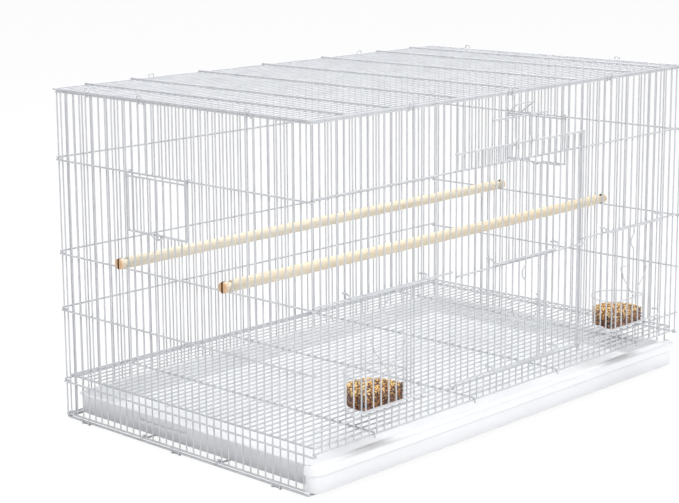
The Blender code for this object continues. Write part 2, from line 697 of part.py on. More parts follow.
def feeder_cross_wire(shapes, centre, plane, level):
    """A feeder door's top or bottom wire, whose ends rise and curl round the guide uprights behind it."""
    guide = FEEDER_GUIDE_GAPS * FRONT_PITCH
    curl = UPRIGHT_CURL
    rise = level + FEEDER_CURL_RISE
    behind = plane + FEEDER_OUT + curl
    half = [
        (-guide + curl, behind, rise),
        (-guide - curl, behind, rise),
        (-guide - curl, plane, rise),
        (-guide + 2 * curl, plane, level),
    ]
    add_wire(shapes, [(centre + x, y, z) for x, y, z in mirrored(half)], RAIL_WIRE)


def feeder_levels():
    """The levels of a feeder door's bottom and top wires."""
    return SILL_LEVEL + FEEDER_BOTTOM_RISE, HEIGHT - FEEDER_TOP_DROP


def feeder_door(name, upright, plane, parent=None):
    """A sliding feeder door: side wires, inner wires with a finger jog in the middle one, two guide wires."""
    frame, uprights, grip = bmesh.new(), bmesh.new(), bmesh.new()
    centre = front_x(upright)
    low, high = feeder_levels()
    for level in (low, high):
        feeder_cross_wire(frame, centre, plane, level)
    places = [k for k in range(-FEEDER_SIDE_GAPS, FEEDER_SIDE_GAPS + 1) if k]
    add_uprights(uprights, [(centre + k * FRONT_PITCH, low, high) for k in places], plane)
    top, bottom = (high - share * (high - low) for share in GRIP_SHARES)
    jog_top, jog_bottom = top + (bottom - top) / 3, bottom - (bottom - top) / 3
    path = [
        (centre, plane, high),
        (centre, plane, top),
        (centre - GRIP_JOG, plane, jog_top),
        (centre - GRIP_JOG, plane, jog_bottom),
        (centre, plane, bottom),
        (centre, plane, low),
    ]
    add_wire(grip, path, UPRIGHT_WIRE)
    mesh = joined(name, [frame, uprights, grip])
    look = ("white_coat", WHITE_COAT)
    return place(name, mesh, look, ALONG_FRONT, (centre, plane, low), DEPTH / 2, parent)


def feeder_spring(name, upright, plane, door):
    """The wire spring on a feeder door: an eye round the first and the last inner wire, joined by a V."""
    centre = front_x(upright)
    curl = (UPRIGHT_WIRE + CLIP_WIRE) / 2 + FIT_GAP
    side = (FEEDER_SIDE_GAPS - 1) * FRONT_PITCH
    low, high = feeder_levels()
    eye, apex = (high - share * (high - low) for share in SPRING_SHARES)
    half = [
        (-side + curl + SPRING_EAR / 2, plane - curl, eye + SPRING_EAR),
        (-side + curl, plane + curl, eye + SPRING_EAR),
        (-side - curl, plane + curl, eye + SPRING_EAR / 2),
        (-side - curl, plane - curl, eye),
        (-side, plane - curl, eye - SPRING_EAR),
    ]
    path = half + [(0, plane - curl, apex)] + [(-x, y, z) for x, y, z in reversed(half)]
    shapes = bmesh.new()
    add_wire(shapes, eased([(centre + x, y, z) for x, y, z in path]), CLIP_WIRE, ROUND)
    mesh = mesh_from(shapes, name)
    look = ("white_coat", WHITE_COAT)
    return place(name, mesh, look, ALONG_FRONT, (centre, plane, apex), DEPTH / 2, door, smooth=True)


def side_door(name, sign, turn):
    """A side door that hangs by two hooks from the upper rail, with a notched bottom wire."""
    frame, uprights, hooks = bmesh.new(), bmesh.new(), bmesh.new()
    ends = sorted(-sign * side_y(k) for k in SIDE_DOOR_UPRIGHTS)
    left, right = ends[0] - SIDE_DOOR_OVERLAP, ends[1] + SIDE_DOOR_OVERLAP
    middle = (left + right) / 2
    level = SIDE_DOOR_RAIL_LEVEL
    head, foot_level = level - SIDE_DOOR_HEAD_DROP, level - SIDE_DOOR_HEIGHT
    half = RAIL_WIRE / 2
    add_bar(frame, (left - half, -DOOR_OUT, head), (right + half, -DOOR_OUT, head), RAIL_WIRE)
    path = [
        (left - half, -DOOR_OUT, foot_level),
        (middle - SIDE_DOOR_NOTCH_WIDTH / 2, -DOOR_OUT, foot_level),
        (middle, -DOOR_OUT, foot_level - SIDE_DOOR_NOTCH),
        (middle + SIDE_DOOR_NOTCH_WIDTH / 2, -DOOR_OUT, foot_level),
        (right + half, -DOOR_OUT, foot_level),
    ]
    add_wire(frame, path, RAIL_WIRE)
    first, last = SIDE_DOOR_UPRIGHTS
    for k in range(first + 1, last):
        x = -sign * side_y(k)
        sag = max(0, 1 - abs(x - middle) * 2 / SIDE_DOOR_NOTCH_WIDTH) * SIDE_DOOR_NOTCH
        add_uprights(uprights, [(x, foot_level - sag, head)], -DOOR_OUT)
    for x in (left, right):
        path = [
            (x, -DOOR_OUT, foot_level),
            (x, -DOOR_OUT, level + HINGE_CURL),
            (x, -RAIL_OUT + HINGE_CURL, level + HINGE_CURL),
            (x, -RAIL_OUT + HINGE_CURL, level - HINGE_CURL / 2),
        ]
        add_wire(hooks, path, UPRIGHT_WIRE)
    mesh = joined(name, [frame, uprights, hooks])
    look = ("white_coat", WHITE_COAT)
    return place(name, mesh, look, turn, (middle, -RAIL_OUT, level), WIDTH / 2)


def turned(shapes, profile, sides):
    """A turned piece about the x axis from its profile as x and radius, closed by flat ends."""
    loops = []
    for x, radius in profile:
        angles = [2 * pi * k / sides for k in range(sides)]
        loops.append([(x, radius * cos(angle), radius * sin(angle)) for angle in angles])
    bridge(shapes, loops)


def perch(name, upright):
    """A turned wooden perch, whose necks lie between side uprights on the middle side rails."""
    inner = WIDTH / 2 - UPRIGHT_WIRE / 2 - PERCH_EDGE
    outer = WIDTH / 2 + RAIL_OUT + RAIL_WIRE / 2 + PERCH_EDGE
    end = outer + PERCH_KNOB_LENGTH
    body, neck, knob = PERCH_DIAMETER / 2, PERCH_NECK / 2, PERCH_KNOB / 2
    half = [
        (-end, knob - PERCH_EDGE),
        (-end + PERCH_EDGE, knob),
        (-outer - PERCH_EDGE / 2, knob),
        (-outer, neck),
        (-inner, neck),
        (-inner + PERCH_EDGE / 2, body - PERCH_EDGE / 2),
        (-inner + PERCH_EDGE, body),
    ]
    shapes = bmesh.new()
    turned(shapes, half + [(-x, radius) for x, radius in reversed(half)], PERCH_SIDES)
    mesh = mesh_from(shapes, name)
    level = MIDDLE_RAIL_LEVEL - HOOK_STEP + RAIL_WIRE / 2 + FIT_GAP + neck
    mesh.transform(Matrix.Translation((0, side_y(upright), level)))
    look = ("perch_wood", PERCH_WOOD)
    return place(name, mesh, look, origin=(0, side_y(upright), level), smooth=True)


def cup_outline(width, depth, straight, corner, level, back_steps=14, corner_steps=3):
    """The D of a cup: flat in front with two round corners, half an ellipse behind, seen from above."""
    half = width / 2
    points = []
    for step in range(back_steps + 1):
        angle = pi * step / back_steps
        points.append((half * cos(angle), straight + (depth - straight) * sin(angle), level))
    for side, start in ((-1, pi), (1, 1.5 * pi)):
        for step in range(corner_steps + 1):
            angle = start + pi / 2 * step / corner_steps
            points.append((side * (half - corner) + corner * cos(angle), corner + corner * sin(angle), level))
    return points


def inset_cup(inset, level, width):
    """The cup's outline moved in by an inset all round."""
    outline = cup_outline(
        width - 2 * inset,
        CUP_DEPTH - 2 * inset,
        CUP_STRAIGHT - inset,
        CUP_CORNER - inset,
        level,
    )
    return [(x, y + inset, z) for x, y, z in outline]


def seed_cup(name, upright):
    """A clear D-shaped cup in a feeder opening, with lugs before and behind each jamb."""
    width = 2 * (FEEDER_SIDE_GAPS * FRONT_PITCH - UPRIGHT_WIRE / 2 - CUP_SIDE_GAP)
    base = SILL_LEVEL + RAIL_WIRE / 2 + FIT_GAP
    top = base + CUP_HEIGHT
    lip = CUP_LIP
    loops = [
        inset_cup(lip + CUP_DRAFT, base, width),
        inset_cup(lip, top - CUP_LIP_HEIGHT, width),
        inset_cup(0, top - CUP_LIP_HEIGHT, width),
        inset_cup(0, top, width),
        inset_cup(lip + CUP_WALL, top, width),
        inset_cup(lip + CUP_WALL + CUP_DRAFT, base + CUP_FLOOR, width),
    ]
    shell = bmesh.new()
    bridge(shell, loops)
    lugs = bmesh.new()
    grip = UPRIGHT_WIRE / 2 + FIT_GAP
    jamb = FEEDER_SIDE_GAPS * FRONT_PITCH
    front = -grip - CUP_LUG_THICKNESS
    high = top - CUP_LIP_HEIGHT / 2
    for sign in (-1, 1):
        far = sign * (jamb + CUP_LUG)
        in_front = sign * (width / 2 - lip - CUP_DRAFT - 2 * CUP_CORNER)
        in_side = sign * (width / 2 - lip - CUP_DRAFT - CUP_WALL / 4)
        for near, y in ((in_front, front), (in_side, grip)):
            xs = sorted((near, far))
            add_box(lugs, (xs[0], y, high - CUP_LUG_HEIGHT), (xs[1], y + CUP_LUG_THICKNESS, high))
    for vert in shell.verts:
        vert.co.y += front - CUP_LUG_SET_BACK
    mesh = joined(name, [shell, lugs])
    mesh.transform(Matrix.Translation((front_x(upright), 0, 0)))
    look = ("clear_plastic", CLEAR_PLASTIC)
    return place(name, mesh, look, origin=(front_x(upright), 0, base), wall=DEPTH / 2, smooth=True)


def rounded_rectangle(left, right, front, back, radius, level, steps=4):
    """A rectangle with round corners at one level."""
    centres = [
        (right - radius, back - radius, 0),
        (left + radius, back - radius, pi / 2),
        (left + radius, front + radius, pi),
        (right - radius, front + radius, 1.5 * pi),
    ]
    points = []
    for x, y, start in centres:
        for step in range(steps + 1):
            angle = start + pi / 2 * step / steps
            points.append((x + radius * cos(angle), y + radius * sin(angle), level))
    return points


def tray_pan(shapes):
    """The pan: floor, drafted walls and an outward rim, as one shell."""
    half = WIDTH / 2 - TRAY_SIDE_GAP
    front = -DEPTH / 2 + TRAY_LEDGE
    back = DEPTH / 2 - TRAY_BACK_GAP
    top = TRAY_BOTTOM + TRAY_HEIGHT

    def loop(inset, level):
        corner = TRAY_CORNER - inset
        return rounded_rectangle(-half + inset, half - inset, front + inset, back - inset, corner, level)

    bridge(
        shapes,
        [
            loop(TRAY_RIM + TRAY_DRAFT, TRAY_BOTTOM),
            loop(TRAY_RIM, top - TRAY_WALL),
            loop(0, top - TRAY_WALL),
            loop(0, top),
            loop(TRAY_RIM + TRAY_WALL, top),
            loop(TRAY_RIM + TRAY_WALL + TRAY_DRAFT, TRAY_BOTTOM + TRAY_WALL),
        ],
    )


def drawer_front(shapes, beads):
    """The drawer front: a wall with round corners and a thicker, round-edged bead along its top."""
    half = WIDTH / 2 - TRAY_FRONT_SIDE_GAP
    front = -DEPTH / 2 - TRAY_FRONT_OUT
    back = -DEPTH / 2 + SIDE_FRONT_SETBACK - RAIL_WIRE / 2 - FIT_GAP

    def strip(out, thickness):
        """The plan of a wall that goes round both front corners, as its outer and inner edges."""
        radius = TRAY_CORNER + out
        outer, inner = [(-half - out, back)], [(-half - out + thickness, back)]
        for side, start in ((-1, pi), (1, 1.5 * pi)):
            x, y = side * (half + out - radius), front - out + radius
            for step in range(CORNER_STEPS + 1):
                angle = start + pi / 2 * step / CORNER_STEPS
                outer.append((x + radius * cos(angle), y + radius * sin(angle)))
                inner_radius = radius - thickness
                inner.append((x + inner_radius * cos(angle), y + inner_radius * sin(angle)))
        outer.append((half + out, back))
        inner.append((half + out - thickness, back))
        return outer + inner[::-1]

    def rise(shape, low, high, out, thickness):
        plan = strip(out, thickness)
        bridge(shape, [[(x, y, z) for x, y in plan] for z in (low, high)])

    rise(shapes, TRAY_FRONT_BOTTOM, TRAY_FRONT_TOP - TRAY_BEAD_ROUND, 0, TRAY_WALL)
    round_off = TRAY_BEAD_ROUND
    levels = (
        (TRAY_BEAD_BOTTOM, -FIT_GAP),
        (TRAY_BEAD_BOTTOM + round_off, TRAY_BEAD),
        (TRAY_FRONT_TOP - round_off, TRAY_BEAD),
        (TRAY_FRONT_TOP, TRAY_BEAD - round_off),
    )
    loops = []
    for level, out in levels:
        plan = strip(out, out + TRAY_WALL + FIT_GAP)
        loops.append([(x, y, level) for x, y in plan])
    bridge(beads, loops)


def tray_ledge(shapes):
    """The ledge that joins the drawer front to the pan's rim."""
    half = WIDTH / 2 - TRAY_FRONT_SIDE_GAP - TRAY_WALL / 2
    front = -DEPTH / 2 - TRAY_FRONT_OUT + TRAY_WALL / 2
    back = -DEPTH / 2 + SIDE_FRONT_SETBACK - RAIL_WIRE / 2 - 2 * FIT_GAP
    top = TRAY_BOTTOM + TRAY_HEIGHT - TRAY_LEDGE_DROP
    radius = TRAY_CORNER - TRAY_WALL / 2
    corners = [(half - radius, front + radius, 1.5 * pi), (-half + radius, front + radius, pi)]
    plan = []
    for x, y, start in corners[::-1]:
        for step in range(CORNER_STEPS + 1):
            angle = start + pi / 2 * step / CORNER_STEPS
            plan.append((x + radius * cos(angle), y + radius * sin(angle)))
    plan += [(half, back), (-half, back)]
    bridge(shapes, [[(x, y, z) for x, y in plan] for z in (top - TRAY_WALL, top)])


def tray_ribs(shapes, sign):
    """The long rib with round ends that is moulded on each end wall of the pan."""
    outer = sign * (WIDTH / 2 - TRAY_SIDE_GAP - TRAY_RIM)
    level = TRAY_BOTTOM + TRAY_RIB_LEVEL
    radius = TRAY_RIB_HEIGHT / 2
    back = DEPTH / 2 - TRAY_RIB_BACK
    plan = []
    for centre, start in ((back - radius, -pi / 2), (back - TRAY_RIB_LENGTH + radius, pi / 2)):
        for step in range(RIB_STEPS + 1):
            angle = start + pi * step / RIB_STEPS
            plan.append((centre + radius * cos(angle), level + radius * sin(angle)))
    inner = outer - sign * (TRAY_DRAFT + TRAY_WALL / 2)
    proud = outer + sign * TRAY_RIB_DEPTH
    bridge(shapes, [[(x, y, z) for y, z in plan] for x in (inner, proud)])


def tray():
    """The slide-out tray."""
    pan, ledge, wall, beads, ribs = (bmesh.new() for layer in range(5))
    tray_pan(pan)
    tray_ledge(ledge)
    drawer_front(wall, beads)
    for sign in (-1, 1):
        tray_ribs(ribs, sign)
    mesh = joined("tray", [pan, ledge, wall, beads, ribs])
    look = ("tray_plastic", TRAY_PLASTIC)
    return place("tray", mesh, look, origin=(0, 0, TRAY_BOTTOM), smooth=True)


def roof_clip(name, x, turn, wall, roof_out=0.0):
    """A wire staple that binds the roof's edge wire to the top rail of a wall."""
    curl = (RAIL_WIRE + CLIP_WIRE) / 2 + FIT_GAP
    low, high = WALL_TOP - curl, HEIGHT + CLIP_WIRE
    half = [
        (-CLIP_WIDTH / 2, curl, WALL_TOP + FIT_GAP),
        (-CLIP_WIDTH / 2, curl, low),
        (-CLIP_WIDTH / 2, -curl - roof_out, low),
        (-CLIP_WIDTH / 2, -curl - roof_out, high),
    ]
    shapes = bmesh.new()
    add_wire(shapes, [(x + px, py, pz) for px, py, pz in mirrored(half)], CLIP_WIRE)
    mesh = mesh_from(shapes, name)
    return place(name, mesh, ("white_coat", WHITE_COAT), turn, (x, 0, WALL_TOP), wall)


def roof_clips():
    """All the clips of the roof, numbered from the left or from the back."""
    for number, upright in enumerate(FRONT_CLIP_UPRIGHTS, 1):
        roof_clip(f"roof_clip_front_{number}", front_x(upright), ALONG_FRONT, DEPTH / 2)
    for number, upright in enumerate(BACK_CLIP_UPRIGHTS, 1):
        roof_clip(f"roof_clip_back_{number}", -front_x(upright), ALONG_BACK, DEPTH / 2, ROOF_OVERHANG)
    for number, upright in enumerate(LEFT_CLIP_UPRIGHTS, 1):
        roof_clip(f"roof_clip_left_{number}", -side_y(upright), ALONG_LEFT, WIDTH / 2)
    for number, upright in enumerate(RIGHT_CLIP_UPRIGHTS, 1):
        roof_clip(f"roof_clip_right_{number}", side_y(upright), ALONG_RIGHT, WIDTH / 2)


def build():
    """Clears the scene and makes every piece of the cage."""
    for old in list(bpy.data.objects):
        bpy.data.objects.remove(old)
    front_panel()
    back_panel()
    side_panel("left_side_panel", 1, ALONG_LEFT)
    side_panel("right_side_panel", -1, ALONG_RIGHT)
    roof_panel()
    roof_clips()
    base_frame()
    floor_grate()
    tray()
    door = main_door()
    main_door_latch(door)
    doors = (
        ("left", LEFT_FEEDER_UPRIGHT, -FEEDER_OUT, None),
        ("middle", MIDDLE_FEEDER_UPRIGHT, -MAIN_DOOR_OUT - FEEDER_OUT, door),
        ("right", RIGHT_FEEDER_UPRIGHT, -FEEDER_OUT, None),
    )
    for side, upright, plane, parent in doors:
        leaf = feeder_door(f"feeder_door_{side}", upright, plane, parent)
        feeder_spring(f"feeder_spring_{side}", upright, plane, leaf)
    side_door("side_door_left", 1, ALONG_LEFT)
    side_door("side_door_right", -1, ALONG_RIGHT)
    for side, upright in zip(("back", "front"), PERCH_UPRIGHTS):
        perch(f"perch_{side}", upright)
    seed_cup("seed_cup_left", LEFT_FEEDER_UPRIGHT)
    seed_cup("seed_cup_right", RIGHT_FEEDER_UPRIGHT)


build()
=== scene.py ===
"""Looks of a low, wide wire flight cage: coated wires with weld beads, tray, perches and seed cups."""

from math import asin, cos, hypot, pi, radians, sin

import bmesh
import bpy
from bpy.props import FloatProperty, FloatVectorProperty, IntProperty, PointerProperty
from mathutils import Euler, Matrix, Vector


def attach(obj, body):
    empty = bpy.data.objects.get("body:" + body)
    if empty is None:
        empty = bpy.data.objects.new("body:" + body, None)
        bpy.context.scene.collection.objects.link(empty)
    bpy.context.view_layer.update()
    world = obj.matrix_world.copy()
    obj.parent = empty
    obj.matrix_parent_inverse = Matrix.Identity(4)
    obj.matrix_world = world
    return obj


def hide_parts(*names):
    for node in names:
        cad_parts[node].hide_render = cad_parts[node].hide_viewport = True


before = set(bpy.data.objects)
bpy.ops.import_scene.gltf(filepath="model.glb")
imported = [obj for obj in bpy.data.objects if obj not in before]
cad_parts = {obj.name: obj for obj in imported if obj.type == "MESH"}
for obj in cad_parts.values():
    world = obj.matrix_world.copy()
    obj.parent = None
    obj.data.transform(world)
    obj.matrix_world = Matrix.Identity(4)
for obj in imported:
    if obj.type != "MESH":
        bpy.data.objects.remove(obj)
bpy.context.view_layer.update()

bl_info = {
    "name": "Flight Cage",
    "version": (1, 0, 0),
    "blender": (4, 5, 0),
    "location": "View3D > Sidebar > Flight Cage",
    "description": "Makes the finished pieces of a wire flight cage and a plain studio round it",
    "category": "Object",
}

# Which way each wall faces, as a turn about the vertical
WALL_TURNS = {"front": 0, "back": pi, "left": -pi / 2, "right": pi / 2}

# Which way a side wall's front lies, seen from outside
SIDE_SIGNS = {"left": 1, "right": -1}

# How many gaps lie between the wires of each panel
FRONT_GAPS = 56
SIDE_GAPS = 34
ROOF_GAPS = 37
GRATE_GAPS = 36

# Places counted in uprights
DOORWAY_UPRIGHTS = (18, 38)
LOCK_BAR_UPRIGHTS = (24, 32)
FEEDER_CENTRES = {"left": 9, "middle": 28, "right": 47}
FEEDER_SIDE_GAPS = 3
FEEDER_GUIDE_GAPS = 5
SIDE_DOOR_UPRIGHTS = (11, 19)
FOOT_UPRIGHTS = (2, 16, 30)
BASE_CROSS_UPRIGHTS = (-0.3, 11.5, 22.5)
PERCH_UPRIGHTS = {"back": 9.5, "front": 24.5}
GRATE_HOOK_UPRIGHTS = (7.5, 21.5, 34.5, 48.5)
GRATE_SIDE_HOOK_UPRIGHT = 15.5
CLIP_UPRIGHTS = {
    "front": (12.5, 26.5, 42.5),
    "back": (12.5, 43.5),
    "left": (4.5, 12.5, 27.5),
    "right": (4.5, 26.5),
}

# Places as shares of the cage's width
MIDDLE_SHARE = 0.5
ROOF_CROSS_SHARES = (0.071, 0.174, 0.336, 0.5, 0.664, 0.826, 0.929)
BASE_RUNNER_SHARES = (0.178, 0.382, 0.574, 0.774)

# Fineness of round shapes
WIRE_SIDES = 12
BEND_STEPS = 5
BEAD_SEGMENTS, BEAD_RINGS = 8, 5
BEAD_WIDTH_SHARE = 0.8  # of a bead's length
SEED_SEGMENTS, SEED_RINGS = 7, 5
SEED_GIRTHS = (0.52, 0.60, 1)  # across, across and along
SEED_SIZES = (0.62, 1.12)  # least and greatest, as shares of the size given
SEED_DENSITY = 190000.0  # to a square metre of the bed
CORNER_STEPS = 12
PERCH_SIDES = 48
CUP_BACK_STEPS, CUP_CORNER_STEPS = 40, 5
LATCH_STEPS = 4
BAND_STEPS = 4
RIB_STEPS = 8
BEVEL_STEPS = 3
BEVEL_ANGLE = radians(38)
SHARP_WIRE_ANGLE = radians(50)
SHARP_MOULDED_ANGLE = radians(35)
SAME_POINT = 0.000001  # points nearer than this are one

# Small shapes that no size of the cage changes
LATCH_HALF_GAPS = 1.2  # half the latch's width, in gaps between uprights
SAW_WALL_SHARE = 0.51  # of the saw cut's width, from its middle
LEVEL_NORMAL = 0.1  # a face whose normal rises by less than this stands upright
CUP_EDGE, CUP_FOOT = 0.0004, 0.0010  # rounding at a cup's lip and under its floor
CUP_FILLET_OUT, CUP_FILLET_RISE, CUP_FILLET_IN = 0.0003, 0.0015, 0.0012  # inside, round its floor
CUP_RIM_DEPTH, CUP_RIM_SHARE = 0.0018, 0.5  # the lip's painted shade, a darker grey that is also less see-through: how far down, and how much
HEAP_SHARES = (0.82, 0.6, 0.36, 0.14)  # rings of the heap, as shares of the bed's outline
BED_INSET_SHARE = 0.55  # of a seed's half length
LEAST_CORNER = 0.001  # the pan's corners stay at least this round
PAN_EDGE, PAN_FILLET = 0.0016, 0.0020  # rounding round the pan's floor, outside and inside
PAN_EDGE_DRAFT = 0.9  # of the draft, where that rounding ends
RIM_EDGE, RIM_LOW_EDGE, RIM_HIGH_EDGE = 0.0010, 0.0003, (0.0004, 0.0003)  # rounding of the pan's rim
DRAWER_EDGE_INSET, DRAWER_EDGE_RISE = 0.0004, 0.0006  # rounding under the drawer front
BAND_HOLLOW_SHARE = 0.55  # how far the band draws in below its widest line
LUG_BEVEL, LEDGE_BEVEL, RIB_BEVEL = 0.0004, 0.0003, 0.0005

# Lamps: place, size and power
LAMPS = {
    "key_light": ((-1.2, -2.2, 2.6), 1.3, 64),
    "top_light": ((0.6, 0.4, 2.8), 1.8, 84),
    "side_light": ((-2.8, 0.6, 1.2), 1.4, 3),
}

# World and floor
WORLD_TINT, WORLD_STRENGTH = (0.95, 0.97, 1, 1), 0.38
WHITE = (1, 1, 1, 1)
FLOOR_REACH, FLOOR_DROP = 30, 0.0006
FLOOR_GLOW, FLOOR_GLOW_SHARE = 1.03, 0.92  # what the camera sees of the floor is mostly this white

# Camera
CAMERA_PLACE = (-1.76637, -1.58298, 0.71975)
CAMERA_TURN = (79.4921, 0.4664, -46.1294)
CAMERA_LENS, CAMERA_SENSOR = 90.796, 36
CAMERA_SHIFT = (0.02424, -0.07572)
CAMERA_CLIP = (0.05, 100)


def length(name, description, default):
    """A length that a user may change."""
    return FloatProperty(
        name=name, description=description, default=default, unit="LENGTH", precision=4, min=0
    )


def colour(name, description, default):
    """A colour that a user may change."""
    return FloatVectorProperty(
        name=name, description=description, default=default, subtype="COLOR", size=3, min=0, max=1
    )


class FlightCageSizes(bpy.types.PropertyGroup):
    """Sizes of the cage's pieces."""

    width: length("Width", "Between the centres of the corner wires, from side to side", 0.7747)
    depth: length("Depth", "Between the centres of the corner wires, from front to back", 0.4699)
    height: length("Height", "Over everything, without the clips", 0.4572)
    upright_wire: length("Upright wire", "Thickness of the fine wires", 0.0020)
    rail_wire: length("Rail wire", "Thickness of the rails", 0.0026)
    base_wire: length("Base wire", "Thickness of the base's outer wire", 0.0030)
    latch_wire: length("Latch wire", "Thickness of the latch", 0.0018)
    clip_wire: length("Clip wire", "Thickness of the clips and springs", 0.0016)
    bend: length("Bend", "Radius of a wire's bends, along its middle", 0.0022)
    fit_gap: length("Fit gap", "Room between pieces that move past each other", 0.0003)
    rail_gap: length("Rail gap", "Room between an upright and the rail that it is welded to", 0.0001)
    bead_length: length("Bead length", "Half the length of a weld bead", 0.0019)
    bead_depth: length("Bead depth", "Half the depth of a weld bead", 0.0011)
    upper_drop: length("Upper rail", "From the top down to the upper rail", 0.0945)
    middle_drop: length("Middle rail", "From the top down to the middle rail", 0.2223)
    lower_drop: length("Lower rail", "From the top down to the lower rail", 0.3003)
    sill_drop: length("Sill rail", "From the top down to the sill rail", 0.3730)
    grate_drop: length("Grate rail", "From the top down to the grate's rail", 0.4004)
    bottom_drop: length("Bottom rail", "From the top down to the bottom rail", 0.4490)
    side_back_setback: length("Back set-back", "From the back wall to the first side upright", 0.0080)
    side_front_setback: length("Front set-back", "From the last side upright to the front wall", 0.0170)
    roof_overhang: length("Roof overhang", "How far the roof runs past the back wall", 0.0080)
    base_front_setback: length("Base set-back", "From the front wall to the base's front wire", 0.0100)
    grate_edge_gap: length("Grate edge gap", "Room round the grate", 0.0020)
    hook_tail: length("Hook tail", "How far the grate's hooks reach below their rail", 0.0040)
    clip_width: length("Clip width", "Between the two legs of a roof clip", 0.0084)
    door_top_drop: length("Door top", "From the top down to the door's top wire", 0.0715)
    door_rail_drop: length("Door rail", "From the top down to the door's rail", 0.2270)
    door_bottom_drop: length("Door bottom", "From the top down to the door's bottom wire", 0.3665)
    door_step: length("Door step", "How far the door stands in front of its hooks", 0.0019)
    door_side_inset: length("Door inset", "From a jamb to the door's side wire", 0.0029)
    lock_bar_drop: length("Lock bar", "From the top down to the lock bar", 0.0375)
    latch_eye_rise: length("Latch eye", "Height of the latch's eyes", 0.0080)
    latch_reach: length("Latch reach", "How far the latch reaches in", 0.0150)
    latch_clearance: length("Latch clearance", "Room between the latch and the lock bar", 0.0007)
    latch_return: length("Latch return", "Rise at the latch's inner end", 0.0035)
    finger_rise: length("Finger rise", "From the latch's bend up to its finger bar", 0.0148)
    finger_reach: length("Finger reach", "How far the finger bar stands out", 0.0040)
    feeder_top_drop: length("Feeder door top", "From the top down to a feeder door's top wire", 0.2225)
    feeder_bottom_drop: length("Feeder door bottom", "From the top down to its bottom wire", 0.3655)
    feeder_curl_rise: length("Feeder curl", "Rise of its ends to the guides", 0.0080)
    grip_top_drop: length("Grip top", "From the top down to the finger grip", 0.2330)
    grip_bottom_drop: length("Grip bottom", "From the top down to the grip's lower end", 0.2550)
    grip_jog: length("Grip jog", "How far the grip steps aside", 0.0070)
    spring_eye_drop: length("Spring eyes", "From the top down to the spring's eyes", 0.2850)
    spring_apex_drop: length("Spring apex", "From the top down to the spring's apex", 0.3250)
    spring_ear: length("Spring ear", "Height of the spring's ears", 0.0080)
    side_door_height: length("Side door height", "From the side door's rail to its bottom wire", 0.0750)
    side_door_overlap: length("Side door overlap", "How far it covers each jamb", 0.0032)
    side_door_notch: length("Side door notch", "Depth of the notch in its bottom wire", 0.0060)
    side_door_notch_width: length("Notch width", "Width of that notch", 0.0260)
    side_door_head_drop: length("Side door head", "From its rail to its head wire", 0.0040)
    side_sill_overlap: length("Side sill", "From its bottom wire to the sill", 0.0010)
    perch_diameter: length("Perch", "Thickness of a perch", 0.0150)
    perch_neck: length("Perch neck", "Thickness of a perch's neck", 0.0100)
    perch_knob: length("Perch knob", "Thickness of a perch's end", 0.0145)
    perch_knob_length: length("Knob length", "Length of a perch's end", 0.0070)
    perch_edge: length("Perch edge", "Rounding of a perch's edges", 0.0012)
    perch_slot: length("Perch slot", "Width of the saw cut in a perch's end", 0.0030)
    perch_slot_depth: length("Perch slot depth", "Depth of that cut", 0.0100)
    cup_depth: length("Cup depth", "From a cup's flat face to its back", 0.0600)
    cup_straight: length("Cup straight", "Length of its straight sides", 0.0180)
    cup_height: length("Cup height", "Height of a cup", 0.0430)
    cup_wall: length("Cup wall", "Thickness of its wall", 0.0016)
    cup_floor: length("Cup floor", "Thickness of its floor", 0.0018)
    cup_draft: length("Cup draft", "How far its wall leans in towards the floor", 0.0008)
    cup_lip: length("Cup lip", "Width of its lip", 0.0012)
    cup_lip_height: length("Lip height", "Height of its lip", 0.0020)
    cup_corner: length("Cup corner", "Radius of its front corners", 0.0025)
    cup_side_gap: length("Cup gap", "Room between a cup and the jambs", 0.0010)
    cup_lug: length("Cup lug", "How far its lugs reach past a jamb", 0.0030)
    cup_lug_thickness: length("Lug thickness", "Thickness of a lug", 0.0018)
    cup_lug_set_back: length("Lug set-back", "From the flat face back to a lug", 0.0002)
    cup_lug_height: length("Lug height", "Height of a lug", 0.0380)
    seed_fill: length("Seed fill", "How high the seeds lie at a cup's wall", 0.0230)
    seed_heap: length("Seed heap", "How much higher they lie in the middle", 0.0060)
    seed_long: length("Seed length", "Half the length of a seed", 0.0021)
    tray_side_gap: length("Tray side gap", "From the side walls to the pan", 0.0070)
    tray_back_gap: length("Tray back gap", "From the back wall to the pan", 0.0080)
    tray_height: length("Tray height", "Height of the pan", 0.0300)
    tray_wall: length("Tray wall", "Thickness of the plastic", 0.0018)
    tray_draft: length("Tray draft", "How far the walls lean in towards the floor", 0.0040)
    tray_rim: length("Tray rim", "Width of the rim", 0.0035)
    tray_corner: length("Tray corner", "Radius of the corners", 0.0140)
    tray_front_out: length("Drawer front", "How far the drawer front stands out", 0.0020)
    tray_ledge: length("Tray ledge", "From the front wall to the pan", 0.0120)
    tray_ledge_drop: length("Ledge drop", "From the rim down to the ledge", 0.0007)
    tray_front_top: length("Drawer top", "Top of the drawer front", 0.0400)
    tray_front_bottom: length("Drawer bottom", "Bottom of the drawer front", 0.0066)
    tray_front_side_gap: length("Drawer side gap", "From the side walls to the drawer front", 0.0010)
    tray_bead: length("Drawer bead", "How far the band along its top stands out", 0.0030)
    tray_bead_bottom: length("Bead bottom", "Lower edge of the band", 0.0275)
    tray_bead_round: length("Bead rounding", "Rounding of the band", 0.0025)
    tray_rib_length: length("Rib length", "Length of the rib on each end wall", 0.0950)
    tray_rib_height: length("Rib height", "Height of the rib", 0.0040)
    tray_rib_depth: length("Rib depth", "How far it stands out", 0.0012)
    tray_rib_back: length("Rib place", "From the back wall to the rib", 0.1360)
    tray_rib_level: length("Rib level", "From the pan's floor up to the rib", 0.0160)
    seed_seed: IntProperty(
        name="Seed scatter", description="Which scatter of seeds is used", default=4, min=0
    )


